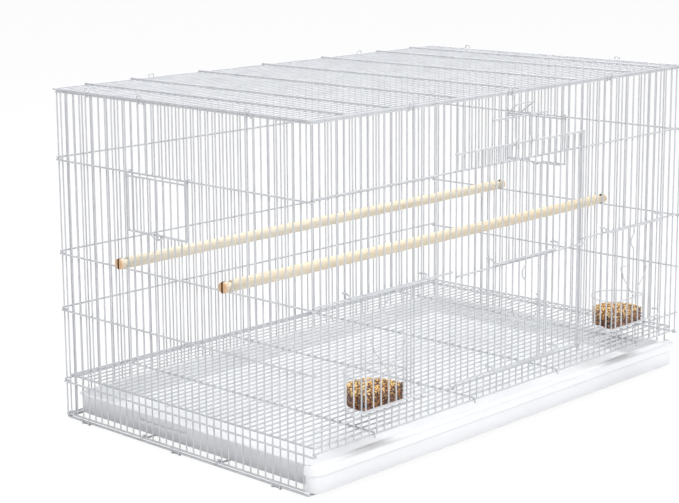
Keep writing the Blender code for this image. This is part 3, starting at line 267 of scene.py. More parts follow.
class FlightCageFinishes(bpy.types.PropertyGroup):
    """Colours and surfaces of the cage and of the studio."""

    coat: colour("Coat", "Powder coat of the wires", (0.61, 0.62, 0.64))
    coat_shade: colour("Coat shade", "Powder coat where it lies thin", (0.44, 0.45, 0.48))
    coat_roughness: FloatProperty(
        name="Coat roughness",
        description="How matt the coat is",
        default=0.34,
        min=0,
        max=1,
        subtype="FACTOR",
    )
    tray: colour("Tray", "Plastic of the tray", (0.88, 0.885, 0.90))
    # Not the plastic's own colour: a darker grey painted on the cups' lips as painted shade, for the dark
    # line that a clear lip shows.
    clear_lip_painted_shade: colour("Clear plastic rim", "Thicker plastic of the cups' lips", (0.34, 0.36, 0.40))
    clear: colour("Clear plastic", "Tint of the cups", (0.80, 0.81, 0.88))
    wood: colour("Wood", "Pale wood of the perches", (0.75, 0.69, 0.57))
    wood_dark: colour("Wood grain", "Late growth in the wood", (0.68, 0.53, 0.35))
    wood_end: colour("End grain", "Sawn ends of the perches", (0.74, 0.45, 0.25))
    seed_pale: colour("Pale seed", "Lightest seeds", (0.92, 0.60, 0.20))
    seed_warm: colour("Warm seed", "Most of the seeds", (0.52, 0.20, 0.04))
    seed_dark: colour("Dark seed", "Darkest seeds", (0.03, 0.018, 0.012))
    floor: colour("Floor", "Floor and backdrop", (0.93, 0.93, 0.93))


class Plan:
    """The scene's sizes and finishes, with the levels and places that follow from them."""

    def __init__(self, scene):
        self.f = scene.flight_cage_finishes
        s = self.s = scene.flight_cage_sizes
        self.front_pitch = s.width / FRONT_GAPS
        self.side_pitch = (s.depth - s.side_back_setback - s.side_front_setback) / SIDE_GAPS
        self.rail_out = (s.upright_wire + s.rail_wire) / 2 + s.rail_gap
        self.door_out = self.rail_out + s.rail_wire + s.fit_gap
        self.main_door_out = self.door_out + s.door_step
        self.feeder_out = self.rail_out + (s.rail_wire + s.upright_wire) / 2 + s.clip_wire + 2 * s.fit_gap
        self.hook_step = s.rail_wire + 2 * s.fit_gap
        self.upright_curl = (s.upright_wire + s.rail_wire) / 2 + s.fit_gap
        self.hinge_curl = self.door_out - self.rail_out
        self.roof_cross_level = s.height - s.rail_wire / 2
        self.roof_level = self.roof_cross_level - self.rail_out
        self.wall_top = self.roof_level - s.rail_wire - s.fit_gap
        self.wall_bottom = s.height - s.bottom_drop
        self.sill_level = s.height - s.sill_drop
        self.grate_rail_level = s.height - s.grate_drop
        self.grate_cross_level = self.grate_rail_level + s.rail_wire + s.fit_gap
        self.grate_level = self.grate_cross_level + self.rail_out
        self.base_level = s.upright_wire + s.fit_gap + s.base_wire / 2
        self.base_cross_level = self.base_level + (s.base_wire + s.rail_wire) / 2 + s.rail_gap
        self.tray_bottom = self.base_cross_level + s.rail_wire / 2 + s.fit_gap
        self.side_door_level = s.height - s.upper_drop - self.hook_step
        self.door_top_level = s.height - s.door_top_drop

    def front_x(self, upright):
        """Place along the front or back wall of an upright counted from the left."""
        return upright * self.front_pitch - self.s.width / 2

    def side_y(self, upright):
        """Depth in the cage of a side upright counted from the back."""
        return self.s.depth / 2 - self.s.side_back_setback - upright * self.side_pitch

    def turned(self, wall):
        """Moves what is drawn along a wall into its place. Without a wall it stays."""
        if not wall:
            return Matrix()
        out = self.s.depth / 2 if wall in ("front", "back") else self.s.width / 2
        return Matrix.Rotation(WALL_TURNS[wall], 4, "Z") @ Matrix.Translation((0, -out, 0))


# Node trees


def added(tree, kind, inputs=None, **settings):
    """A new node of a tree, with its settings, and with its inputs linked or given a value."""
    node = tree.nodes.new(kind)
    for name, value in settings.items():
        setattr(node, name, value)
    for socket, value in (inputs or {}).items():
        if isinstance(value, bpy.types.NodeSocket):
            tree.links.new(value, node.inputs[socket])
        else:
            node.inputs[socket].default_value = value
    return node


def tree_with(name, inputs):
    """A geometry tree with named inputs, and the sockets that its inputs come from."""
    tree = bpy.data.node_groups.new(name, "GeometryNodeTree")
    tree.interface.new_socket("Geometry", in_out="INPUT", socket_type="NodeSocketGeometry")
    for label, kind in (*inputs, ("Material", "Material")):
        tree.interface.new_socket(label, in_out="INPUT", socket_type=f"NodeSocket{kind}")
    tree.interface.new_socket("Geometry", in_out="OUTPUT", socket_type="NodeSocketGeometry")
    return tree, tree.nodes.new("NodeGroupInput").outputs


def finished_tree(tree, given, geometry):
    """The tree, ended in Realize Instances, smooth shading and Set Material."""
    real = added(tree, "GeometryNodeRealizeInstances", {"Geometry": geometry})
    smooth = added(tree, "GeometryNodeSetShadeSmooth", {"Geometry": real.outputs["Geometry"]})
    ends = {"Geometry": smooth.outputs["Geometry"], "Material": given["Material"]}
    painted = added(tree, "GeometryNodeSetMaterial", ends)
    added(tree, "NodeGroupOutput", {"Geometry": painted.outputs["Geometry"]})
    return tree


def round_wire_tree(name):
    """Round wire along lines of edges, with round bends."""
    tree, given = tree_with(name, [("Diameter", "Float"), ("Bend radius", "Float")])
    lines = added(tree, "GeometryNodeMeshToCurve", {"Mesh": given["Geometry"]})
    bends = added(
        tree,
        "GeometryNodeFilletCurve",
        {
            "Curve": lines.outputs["Curve"],
            "Radius": given["Bend radius"],
            "Count": BEND_STEPS,
            "Limit Radius": True,
        },
        mode="POLY",
    )
    half = added(tree, "ShaderNodeMath", {0: given["Diameter"], 1: 0.5}, operation="MULTIPLY")
    ring = added(
        tree, "GeometryNodeCurvePrimitiveCircle", {"Resolution": WIRE_SIDES, "Radius": half.outputs["Value"]}
    )
    tube = added(
        tree,
        "GeometryNodeCurveToMesh",
        {"Curve": bends.outputs["Curve"], "Profile Curve": ring.outputs["Curve"], "Fill Caps": True},
    )
    return finished_tree(tree, given, tube.outputs["Mesh"])


def weld_bead_tree(name):
    """A bead of metal under the coat at each point."""
    tree, given = tree_with(name, [("Bead radii", "Vector")])
    bead = added(
        tree, "GeometryNodeMeshUVSphere", {"Segments": BEAD_SEGMENTS, "Rings": BEAD_RINGS, "Radius": 1}
    )
    placed = added(
        tree,
        "GeometryNodeInstanceOnPoints",
        {"Points": given["Geometry"], "Instance": bead.outputs["Mesh"], "Scale": given["Bead radii"]},
    )
    return finished_tree(tree, given, placed.outputs["Instances"])


def scattered_seed_tree(name):
    """Seeds of several kinds lying every way on a bed's faces."""
    tree, given = tree_with(name, [("Density", "Float"), ("Half length", "Float"), ("Seed", "Int")])
    seed = given["Seed"]
    spread = added(
        tree,
        "GeometryNodeDistributePointsOnFaces",
        {"Mesh": given["Geometry"], "Density": given["Density"], "Seed": seed},
    )
    tone = added(tree, "FunctionNodeRandomValue", {"Seed": seed}, data_type="FLOAT")
    kept = added(
        tree,
        "GeometryNodeStoreNamedAttribute",
        {"Geometry": spread.outputs["Points"], "Name": "seed_tone"},
        data_type="FLOAT",
        domain="POINT",
    )
    tree.links.new(tone.outputs[1], kept.inputs["Value"])
    turn = added(
        tree,
        "FunctionNodeRandomValue",
        {"Seed": seed, "Max": (2 * pi, 2 * pi, 2 * pi)},
        data_type="FLOAT_VECTOR",
    )
    size = added(
        tree,
        "FunctionNodeRandomValue",
        {"Seed": seed, 2: SEED_SIZES[0], 3: SEED_SIZES[1]},
        data_type="FLOAT",
    )
    swell = added(
        tree, "ShaderNodeMath", {0: size.outputs[1], 1: given["Half length"]}, operation="MULTIPLY"
    )
    grain = added(
        tree, "GeometryNodeMeshUVSphere", {"Segments": SEED_SEGMENTS, "Rings": SEED_RINGS, "Radius": 1}
    )
    plump = added(
        tree, "GeometryNodeTransform", {"Geometry": grain.outputs["Mesh"], "Scale": SEED_GIRTHS}
    )
    placed = added(
        tree,
        "GeometryNodeInstanceOnPoints",
        {
            "Points": kept.outputs["Geometry"],
            "Instance": plump.outputs["Geometry"],
            "Rotation": turn.outputs["Value"],
            "Scale": swell.outputs["Value"],
        },
    )
    return finished_tree(tree, given, placed.outputs["Instances"])


def evaluated(mesh, kind, settings, sockets=None):
    """The plain mesh that one modifier makes from a mesh."""
    helper = bpy.data.objects.new("helper", mesh)
    bpy.context.scene.collection.objects.link(helper)
    modifier = helper.modifiers.new("shape", kind)
    for name, value in settings.items():
        setattr(modifier, name, value)
    for identifier, value in (sockets or {}).items():
        modifier[identifier] = value
    helper.update_tag()
    graph = bpy.context.evaluated_depsgraph_get()
    made = bpy.data.meshes.new_from_object(helper.evaluated_get(graph))
    helper.modifiers.clear()
    bpy.data.objects.remove(helper)
    return made


def grown(mesh, name, maker, values):
    """The plain mesh that a named geometry tree makes from a mesh."""
    tree = bpy.data.node_groups.get(name) or maker(name)
    inputs = {item.name: item.identifier for item in tree.interface.items_tree if item.in_out == "INPUT"}
    sockets = {inputs[label]: value for label, value in values.items()}
    return evaluated(mesh, "NODES", {"node_group": tree}, sockets)


# Materials


class Paint:
    """A material under construction: its nodes, its shader and the piece's own coordinates."""

    def __init__(self, name):
        self.material = bpy.data.materials.new(name)
        self.material.use_nodes = True
        self.tree = self.material.node_tree
        self.shader = self.tree.nodes["Principled BSDF"]
        self.place = added(self.tree, "ShaderNodeTexCoord").outputs["Object"]

    def to(self, socket, source):
        """Links a source to one of the shader's sockets."""
        self.tree.links.new(source, self.shader.inputs[socket])

    def attribute(self, name):
        """A value that the mesh keeps at its points or faces."""
        return added(self.tree, "ShaderNodeAttribute", attribute_name=name).outputs["Fac"]

    def stretched(self, scale):
        """The coordinates, stretched by a scale on each axis."""
        return added(self.tree, "ShaderNodeMapping", {"Vector": self.place, "Scale": scale}).outputs["Vector"]

    def noise(self, scale, detail=2.0, rough=0.5, vector=None, distortion=0.0):
        """Cloudy noise from 0 to 1."""
        inputs = {"Scale": scale, "Detail": detail, "Roughness": rough, "Distortion": distortion}
        inputs["Vector"] = vector or self.place
        return added(self.tree, "ShaderNodeTexNoise", inputs).outputs["Fac"]

    def ramp(self, source, *stops, constant=False):
        """Colours or greys along a value."""
        node = added(self.tree, "ShaderNodeValToRGB", {"Fac": source})
        if constant:
            node.color_ramp.interpolation = "CONSTANT"
        elements = node.color_ramp.elements
        while len(elements) < len(stops):
            elements.new(1)
        for element, (position, shade) in zip(elements, stops):
            element.position = position
            element.color = (*shade, 1) if hasattr(shade, "__len__") else (shade, shade, shade, 1)
        return node.outputs["Color"]

    def mixed(self, factor, first, second, blend="MIX"):
        """One colour mixed into another."""
        inputs = {0: factor, 6: first, 7: second}
        for socket, value in inputs.items():
            if isinstance(value, tuple):
                inputs[socket] = (*value, 1)
        return added(self.tree, "ShaderNodeMix", inputs, data_type="RGBA", blend_type=blend).outputs[2]

    def spread(self, source, low, high):
        """A value moved into a range."""
        inputs = {"Value": source, "To Min": low, "To Max": high}
        return added(self.tree, "ShaderNodeMapRange", inputs).outputs["Result"]

    def bump(self, height, strength, distance):
        """Fine relief on the surface."""
        inputs = {"Height": height, "Strength": strength, "Distance": distance}
        self.to("Normal", added(self.tree, "ShaderNodeBump", inputs).outputs["Normal"])


def scaled(shade, share=1):
    """A colour property as a plain tuple of rounded channels, each times a share."""
    return tuple(round(channel, 4) * share for channel in shade)


def coat_material(name, f):
    """Baked powder coat: clouds of thick and thin coat, orange peel, and a matt sheen."""
    paint = Paint(name)
    coat, shade = scaled(f.coat), scaled(f.coat_shade)
    clouds = paint.noise(38, 3.0, 0.6)
    specks = paint.noise(900, 2.0, 0.7)
    body = paint.mixed(paint.ramp(clouds, (0.35, 0.0), (0.72, 0.55)), coat, shade)
    paint.to("Base Color", paint.mixed(paint.ramp(specks, (0.60, 0.0), (0.78, 0.5)), body, shade))
    paint.to("Roughness", paint.spread(clouds, f.coat_roughness - 0.06, f.coat_roughness + 0.10))
    paint.bump(paint.noise(650, 2.0, 0.5), 0.25, 0.0001)
    return paint.material


def tray_material(name, f):
    """Moulded plastic: faint flow clouds, a fine satin grain and light scuffs."""
    paint = Paint(name)
    flow = paint.noise(6, 4.0, 0.55, distortion=0.6)
    grain = paint.noise(1400, 1.0, 0.5)
    scuffs = paint.noise(30, 5.0, 0.7, paint.stretched((0.3, 4, 1)))
    tinted = paint.mixed(paint.ramp(flow, (0.35, 0.0), (0.7, 1.0)), scaled(f.tray), scaled(f.tray, 0.955))
    scuffed = paint.ramp(scuffs, (0.62, 0.0), (0.80, 0.35))
    paint.to("Base Color", paint.mixed(scuffed, tinted, scaled(f.tray, 0.90)))
    paint.to("Roughness", paint.spread(scuffs, 0.34, 0.58))
    paint.bump(grain, 0.2, 0.0001)
    return paint.material


def clear_material(name, f):
    """Clear moulded plastic: see-through face on, less so along its walls and at its lip, whose faces carry
    painted shade, a darker grey.
    """
    paint = Paint(name)
    haze = paint.noise(60, 3.0, 0.6)
    hazy = paint.mixed(paint.ramp(haze, (0.4, 0.0), (0.7, 0.6)), scaled(f.clear), scaled(f.clear, 0.93))
    facing = added(paint.tree, "ShaderNodeLayerWeight", {"Blend": 0.5}).outputs["Facing"]
    rim = paint.attribute("cup_rim")
    # Painted shade: the lip's faces are mixed towards a darker grey.
    paint.to("Base Color", paint.mixed(rim, hazy, scaled(f.clear_lip_painted_shade)))
    walls = paint.ramp(facing, (0.30, 0.015), (0.70, 0.10), (0.92, 0.75))
    solid = added(paint.tree, "ShaderNodeMath", {0: walls, 1: rim}, operation="MAXIMUM")
    paint.to("Alpha", solid.outputs["Value"])
    paint.to("Roughness", paint.spread(haze, 0.05, 0.16))
    paint.shader.inputs["IOR"].default_value = 1.49
    paint.bump(haze, 0.15, 0.0004)
    return paint.material


def wood_material(name, f):
    """Bare turned softwood: grain, pores and warm streaks along the dowel, rings on its sawn ends, and
    painted shade, near black, on the walls of its saw cuts.
    """
    paint = Paint(name)
    rings = paint.noise(1, 4.0, 0.6, paint.stretched((5, 190, 190)), 0.8)
    streaks = paint.noise(1, 2.0, 0.5, paint.stretched((1.6, 45, 45)), 0.4)
    pores = paint.noise(1, 2.0, 0.7, paint.stretched((60, 900, 900)))
    growth = paint.noise(1, 2.0, 0.5, paint.stretched((20, 620, 260)), 1.2)
    pale, dark = scaled(f.wood), scaled(f.wood_dark)
    warm = tuple(channel * share for channel, share in zip(pale, (1.0, 0.93, 0.82)))
    ground = paint.mixed(paint.ramp(streaks, (0.35, 0.0), (0.68, 1.0)), pale, warm)
    grained = paint.mixed(paint.ramp(rings, (0.50, 0.0), (0.66, 0.40), (0.74, 0.08)), ground, dark)
    pored = paint.mixed(paint.ramp(pores, (0.60, 0.0), (0.75, 0.35)), grained, dark)
    ringed = paint.ramp(growth, (0.42, 0.0), (0.62, 0.6))
    ended = paint.mixed(ringed, scaled(f.wood_end), scaled(f.wood_end, 0.72))
    sawn = paint.mixed(paint.attribute("end_grain"), pored, ended)
    # Painted shade: the walls of the saw cuts are coloured near black, for the dark inside a deep slot.
    paint.to("Base Color", paint.mixed(paint.attribute("saw_cut_painted_shade"), sawn, scaled(f.wood_end, 0.07)))
    paint.to("Roughness", paint.spread(rings, 0.55, 0.80))
    paint.bump(pores, 0.35, 0.0003)
    return paint.material


def seed_material(name, f):
    """Hulled and unhulled seeds, each of one tone, with a faint mottle, and painted shade that makes them
    darker low in the cup.
    """
    paint = Paint(name)
    pale, warm, dark = scaled(f.seed_pale), scaled(f.seed_warm), scaled(f.seed_dark)
    tan = tuple((a + b) / 2 for a, b in zip(pale, warm))
    cream = tuple(min(1, channel * share) for channel, share in zip(pale, (1.15, 1.25, 1.6)))
    kinds = (0.0, dark), (0.32, warm), (0.46, tan), (0.56, pale), (0.72, (0.16, 0.05, 0.02)), (0.82, cream)
    mottle = paint.noise(1500, 2.0, 0.6)
    toned = paint.ramp(paint.attribute("seed_tone"), *kinds, constant=True)
    mottled = paint.mixed(paint.ramp(mottle, (0.45, 0.0), (0.75, 0.45)), toned, warm)
    # Painted shade: seeds are multiplied darker the lower they lie in the cup.
    depths = (0.0, (0.34, 0.20, 0.14)), (0.50, (0.60, 0.42, 0.32)), (0.78, (1, 1, 1))
    painted_low_shade = paint.ramp(paint.attribute("seed_height"), *depths)
    paint.to("Base Color", paint.mixed(1.0, mottled, painted_low_shade, "MULTIPLY"))
    paint.to("Roughness", paint.spread(mottle, 0.45, 0.70))
    paint.shader.inputs["Specular IOR Level"].default_value = 0.25
    paint.bump(mottle, 0.3, 0.0002)
    return paint.material


def bed_material(name, f):
    """The seeds that lie behind the outer ones, as a mottle of warm spots with painted shade, dark, in the
    gaps between them.
    """
    paint = Paint(name)
    inputs = {"Vector": paint.place, "Scale": 420}
    cells = added(paint.tree, "ShaderNodeTexVoronoi", inputs).outputs["Distance"]
    # Warm seed tone at the cells' centres, painted shade in the dark gaps between them.
    centres = paint.ramp(cells, (0.1, 1.0), (0.6, 0.0))
    paint.to("Base Color", paint.mixed(centres, scaled(f.seed_dark), scaled(f.seed_warm)))
    paint.to("Roughness", paint.spread(cells, 0.5, 0.8))
    return paint.material


def finish_named(name, maker, finishes):
    """A material that is made once and then used again."""
    return bpy.data.materials.get(name) or maker(name, finishes)


# Pieces


def point_attribute(mesh, name, value_at):
    """Keeps a value from 0 to 1 at each point of a mesh, for its material."""
    layer = mesh.attributes.new(name, "FLOAT", "POINT")
    layer.data.foreach_set("value", [min(1, max(0, value_at(vertex.co))) for vertex in mesh.vertices])


def joined_meshes(name, meshes):
    """Several meshes as one, with every one of their materials kept."""
    slots, shapes = [], bmesh.new()
    for mesh in meshes:
        first = len(shapes.faces)
        shapes.from_mesh(mesh)
        shapes.faces.ensure_lookup_table()
        lookup = []
        for material in mesh.materials:
            if material not in slots:
                slots.append(material)
            lookup.append(slots.index(material))
        for face in shapes.faces[first:]:
            face.material_index = lookup[face.material_index] if lookup else 0
        bpy.data.meshes.remove(mesh)
    bmesh.ops.dissolve_degenerate(shapes, dist=SAME_POINT, edges=shapes.edges)
    made = bpy.data.meshes.new(name)
    shapes.to_mesh(made)
    shapes.free()
    for material in slots:
        made.materials.append(material)
    return made


def placed_piece(name, mesh, body, nodes=()):
    """A finished piece that rides on a body and stands for its nodes."""
    piece = bpy.data.objects.new(name, mesh)
    bpy.context.scene.collection.objects.link(piece)
    if nodes:
        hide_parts(*nodes)
    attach(piece, body)


def lines_mesh(name, lines):
    """Loose edges along lines of points. A line whose last point is its first is closed."""
    verts, edges = [], []
    for points in lines:
        closed = (Vector(points[0]) - Vector(points[-1])).length < SAME_POINT
        used = points[:-1] if closed else points
        first = len(verts)
        verts.extend(used)
        edges.extend((first + i, first + i + 1) for i in range(len(used) - 1))
        if closed:
            edges.append((first + len(used) - 1, first))
    mesh = bpy.data.meshes.new(name)
    mesh.from_pydata(verts, edges, [])
    return mesh


def wire_piece(p, name, wires, beads, body, node, wall=None):
    """Round wires, given as thickness to lines, and weld beads. Without a wall it lies level."""
    sizes, meshes = p.s, []
    coat = finish_named("powder_coat_finish", coat_material, p.f)
    for thickness, lines in wires.items():
        values = {"Diameter": thickness, "Bend radius": sizes.bend, "Material": coat}
        meshes.append(grown(lines_mesh(name, lines), "Round wire", round_wire_tree, values))
    if beads:
        radii = (sizes.bead_length, sizes.bead_depth, sizes.bead_length * BEAD_WIDTH_SHARE)
        if not wall:
            radii = (radii[0], radii[2], radii[1])
        points = bpy.data.meshes.new(name)
        points.from_pydata(beads, [], [])
        values = {"Bead radii": radii, "Material": coat}
        meshes.append(grown(points, "Weld beads", weld_bead_tree, values))
    mesh = joined_meshes(name, meshes)
    mesh.transform(p.turned(wall))
    mesh.set_sharp_from_angle(angle=SHARP_WIRE_ANGLE)
    placed_piece(name, mesh, body, [node])


def mirrored(points):
    """A line of points followed by its own mirror image across x = 0."""
    return list(points) + [(-x, y, z) for x, y, z in reversed(points)]


def shifted(points, dx):
    """A line of points moved along the wall."""
    return [(x + dx, y, z) for x, y, z in points]


def across(left, right, out, level):
    """A straight wire along a wall."""
    return [(left, out, level), (right, out, level)]


def upward(x, out, low, high):
    """A straight wire up a wall."""
    return [(x, out, low), (x, out, high)]


def front_wall(p):
    """The front wall with its doorway, feeder openings and lock bar."""
    s = p.s
    half = s.rail_wire / 2
    end = s.width / 2 + half
    rails = [across(-end, end, 0, z) for z in (p.wall_top, p.grate_rail_level)]
    left, right = DOORWAY_UPRIGHTS
    upper, middle = s.height - s.upper_drop, s.height - s.middle_drop
    runs = [
        (0, FRONT_GAPS, upper),
        (0, left, middle),
        (right, FRONT_GAPS, middle),
        (0, FRONT_GAPS, p.sill_level),
        (*LOCK_BAR_UPRIGHTS, s.height - s.lock_bar_drop),
    ]
    openings = [(left, right, p.sill_level, upper)]
    for side in SIDE_SIGNS:
        centre = FEEDER_CENTRES[side]
        openings.append((centre - FEEDER_SIDE_GAPS, centre + FEEDER_SIDE_GAPS, p.sill_level, middle))
    beads = set()
    for first, last, level in runs:
        rails.append(across(p.front_x(first) - half, p.front_x(last) + half, -p.rail_out, level))
        beads.update((p.front_x(k), -s.upright_wire / 2, level) for k in range(first, last + 1))
    uprights = []
    for k in range(FRONT_GAPS + 1):
        x, low, high = p.front_x(k), p.grate_rail_level, p.wall_top
        for first, last, foot, head in openings:
            if first < k < last:
                uprights.append(upward(x, 0, low, foot + half))
                low = head - half
                break
        uprights.append(upward(x, 0, low, high))
    wires = {s.rail_wire: rails, s.upright_wire: uprights}
    wire_piece(p, "front_wall", wires, sorted(beads), "cage", "front_panel", "front")


def back_wall(p):
    """The plain back wall."""
    s = p.s
    end = s.width / 2 + s.rail_wire / 2
    rails = [across(-end, end, 0, z) for z in (p.wall_top, p.wall_bottom)]
    columns = [p.front_x(k) for k in range(FRONT_GAPS + 1)]
    beads = []
    for drop in (s.upper_drop, s.middle_drop, s.lower_drop, s.grate_drop):
        level = s.height - drop
        rails.append(across(-end, end, -p.rail_out, level))
        beads += [(x, -s.upright_wire / 2, level) for x in columns]
    uprights = [upward(x, 0, p.wall_bottom, p.wall_top) for x in columns]
    wires = {s.rail_wire: rails, s.upright_wire: uprights}
    wire_piece(p, "back_wall", wires, beads, "cage", "back_panel", "back")


def side_wall(p, side):
    """A side wall with its doorway, its rails curled round the corner wires, and its feet."""
    s, sign = p.s, SIDE_SIGNS[side]
    half = s.rail_wire / 2

    def place_of(k):
        return -sign * p.side_y(k)

    end = sign * (s.depth / 2 - half - s.fit_gap)
    last = place_of(SIDE_GAPS) + sign * half
    jambs = SIDE_DOOR_UPRIGHTS
    sill = p.side_door_level - s.side_door_height - s.side_sill_overlap
    rails = [
        across(-end, end, 0, p.wall_top),
        across(-end, last, 0, p.wall_bottom),
        across(place_of(jambs[0]), place_of(jambs[1]), 0, sill),
    ]
    curl, front = p.upright_curl, s.depth / 2
    beads = []
    for drop in (s.upper_drop, s.middle_drop, s.lower_drop, s.grate_drop):
        level = s.height - drop - p.hook_step
        path = [
            (front - curl / 2, curl, level),
            (front + curl, curl, level),
            (front + curl, -p.rail_out, level),
            (-front - curl, -p.rail_out, level),
            (-front - curl, curl, level),
            (-front + curl / 2, curl, level),
        ]
        rails.append([(sign * x, y, z) for x, y, z in path])
        beads += [(place_of(k), -s.upright_wire / 2, level) for k in range(SIDE_GAPS + 1)]
    uprights = []
    for k in range(SIDE_GAPS + 1):
        x, low = place_of(k), p.wall_bottom
        if jambs[0] < k < jambs[1]:
            uprights.append(upward(x, 0, low, sill))
            low = p.side_door_level - half
        uprights.append(upward(x, 0, low, p.wall_top))
    out = (s.base_wire + s.upright_wire) / 2 + s.fit_gap
    for k in FOOT_UPRIGHTS:
        first, second = place_of(k), place_of(k + 1)
        leg = [
            (first, 0, p.wall_bottom),
            (first, -out, p.wall_bottom),
            (first, -out, s.upright_wire / 2),
            (first, out - s.upright_wire / 2, s.upright_wire / 2),
        ]
        uprights.append(leg + [(second, y, z) for x, y, z in reversed(leg)])
    wires = {s.rail_wire: rails, s.upright_wire: uprights}
    wire_piece(p, f"{side}_side_wall", wires, beads, "cage", f"{side}_side_panel", side)


def rectangle(left, right, front, back, level):
    """A closed line round four corners at one level."""
    corners = [(left, front, level), (right, front, level), (right, back, level), (left, back, level)]
    return corners + corners[:1]


def roof(p):
    """The roof's edge wire, its fine wires and the cross wires on top."""
    s = p.s
    front, back = -s.depth / 2, s.depth / 2 + s.roof_overhang
    rails = [rectangle(-s.width / 2, s.width / 2, front, back, p.roof_level)]
    pitch = (back - front) / ROOF_GAPS
    rows = [front + k * pitch for k in range(1, ROOF_GAPS)]
    fine = [[(-s.width / 2, y, p.roof_level), (s.width / 2, y, p.roof_level)] for y in rows]
    beads = []
    for share in ROOF_CROSS_SHARES:
        x = (share - MIDDLE_SHARE) * s.width
        rails.append([(x, front, p.roof_cross_level), (x, back, p.roof_cross_level)])
        beads += [(x, y, p.roof_level + s.upright_wire / 2) for y in (front, *rows, back)]
    wires = {s.rail_wire: rails, s.upright_wire: fine}
    wire_piece(p, "roof", wires, beads, "cage", "roof_panel")


def roof_clips(p):
    """The staples that bind the roof to the walls."""
    s = p.s
    curl = (s.rail_wire + s.clip_wire) / 2 + s.fit_gap
    tip, low, high = p.wall_top + s.fit_gap, p.wall_top - curl, s.height + s.clip_wire
    left = -s.clip_width / 2
    places = {
        "front": p.front_x,
        "back": lambda k: -p.front_x(k),
        "left": lambda k: -p.side_y(k),
        "right": p.side_y,
    }
    for wall, place_of in places.items():
        outer = -curl - (s.roof_overhang if wall == "back" else 0.0)
        half = [(left, curl, tip), (left, curl, low), (left, outer, low), (left, outer, high)]
        for number, upright in enumerate(CLIP_UPRIGHTS[wall], 1):
            name = f"roof_clip_{wall}_{number}"
            path = shifted(mirrored(half), place_of(upright))
            wire_piece(p, f"{name}_wire", {s.clip_wire: [path]}, [], "cage", name, wall)


def grate(p):
    """The wire floor with its hooks over the rails round it."""
    s = p.s
    edge = s.width / 2 - s.upright_wire / 2 - s.rail_wire / 2 - s.grate_edge_gap
    front = -s.depth / 2 + s.upright_wire / 2 + s.rail_wire / 2 + s.grate_edge_gap
    rails = [rectangle(-edge, edge, front, -front, p.grate_level)]
    rows = [front * (1 - 2 * k / GRATE_GAPS) for k in range(1, GRATE_GAPS)]
    fine = [[(-edge, y, p.grate_level), (edge, y, p.grate_level)] for y in rows]
    reach = s.rail_wire + s.fit_gap
    tail = p.grate_rail_level - s.hook_tail
    beads = []
    for upright in GRATE_HOOK_UPRIGHTS:
        x = p.front_x(upright)
        back_rail = s.depth / 2 + p.rail_out
        rails.append(
            [
                (x, -s.depth / 2 - reach, tail),
                (x, -s.depth / 2 - reach, p.grate_cross_level),
                (x, back_rail + reach, p.grate_cross_level),
                (x, back_rail + reach, tail),
            ]
        )
        beads += [(x, y, p.grate_level - s.upright_wire / 2) for y in (front, *rows, -front)]
    y = p.side_y(GRATE_SIDE_HOOK_UPRIGHT)
    hook_x = s.width / 2 + p.rail_out + reach
    side_tail = p.grate_rail_level - p.hook_step - s.hook_tail
    for sign in (-1, 1):
        path = [(edge, p.grate_level), (hook_x, p.grate_level), (hook_x, side_tail)]
        fine.append([(sign * x, y, z) for x, z in path])
    wires = {s.rail_wire: rails, s.upright_wire: fine}
    wire_piece(p, "grate_wires", wires, beads, "floor_grate", "floor_grate")


def base(p):
    """The base wire with its runners and the hooked cross wires that the tray slides on."""
    s = p.s
    front, back = -s.depth / 2 + s.base_front_setback, s.depth / 2
    edge = [rectangle(-s.width / 2, s.width / 2, front, back, p.base_level)]
    places = [(share - MIDDLE_SHARE) * s.width for share in BASE_RUNNER_SHARES]
    rails = [[(x, front, p.base_level), (x, back, p.base_level)] for x in places]
    reach = s.rail_wire + s.fit_gap
    rise = p.wall_bottom + reach
    inside = s.width / 2 - reach
    beads = []
    for upright in BASE_CROSS_UPRIGHTS:
        y = p.side_y(upright)
        half = [
            (-s.width / 2 - reach, y, p.wall_bottom - s.rail_wire / 2),
            (-s.width / 2 - reach, y, rise),
            (-inside, y, rise),
            (-inside, y, p.base_cross_level),
        ]
        rails.append(mirrored(half))
        beads += [(x, y, p.base_level + s.rail_wire / 2) for x in places]
    wires = {s.base_wire: edge, s.rail_wire: rails}
    wire_piece(p, "base_wires", wires, beads, "cage", "base_frame")


def main_door(p):
    """The tall front door with its hooks round the sill rail."""
    s = p.s
    first, last = DOORWAY_UPRIGHTS
    sides = p.front_x(first) + s.door_side_inset, p.front_x(last) - s.door_side_inset
    half = s.rail_wire / 2
    low, high = s.height - s.door_bottom_drop, p.door_top_level
    ends = sides[0] - half, sides[1] + half
    plane = -p.main_door_out
    rail_level = s.height - s.door_rail_drop
    rails = [across(*ends, plane, z) for z in (low, high)]
    rails.append(across(*ends, plane - p.rail_out, rail_level))
    uprights, beads = [], []
    for k in range(first + 1, last):
        inside = abs(k - FEEDER_CENTRES["middle"]) < FEEDER_SIDE_GAPS
        x = p.front_x(k)
        uprights.append(upward(x, plane, rail_level - half if inside else low, high))
        beads.append((x, plane - s.upright_wire / 2, rail_level))
    for x in sides:
        beads.append((x, plane - s.upright_wire / 2, rail_level))
        uprights.append(
            [
                (x, plane, high),
                (x, plane, low - half),
                (x, -p.door_out, p.sill_level + half),
                (x, -p.door_out, p.sill_level - p.hinge_curl),
                (x, -p.rail_out + p.hinge_curl, p.sill_level - p.hinge_curl),
                (x, -p.rail_out + p.hinge_curl, p.sill_level + p.hinge_curl / 2),
            ]
        )
    wires = {s.rail_wire: rails, s.upright_wire: uprights}
    wire_piece(p, "door_wires", wires, beads, "main_door", "main_door", "front")


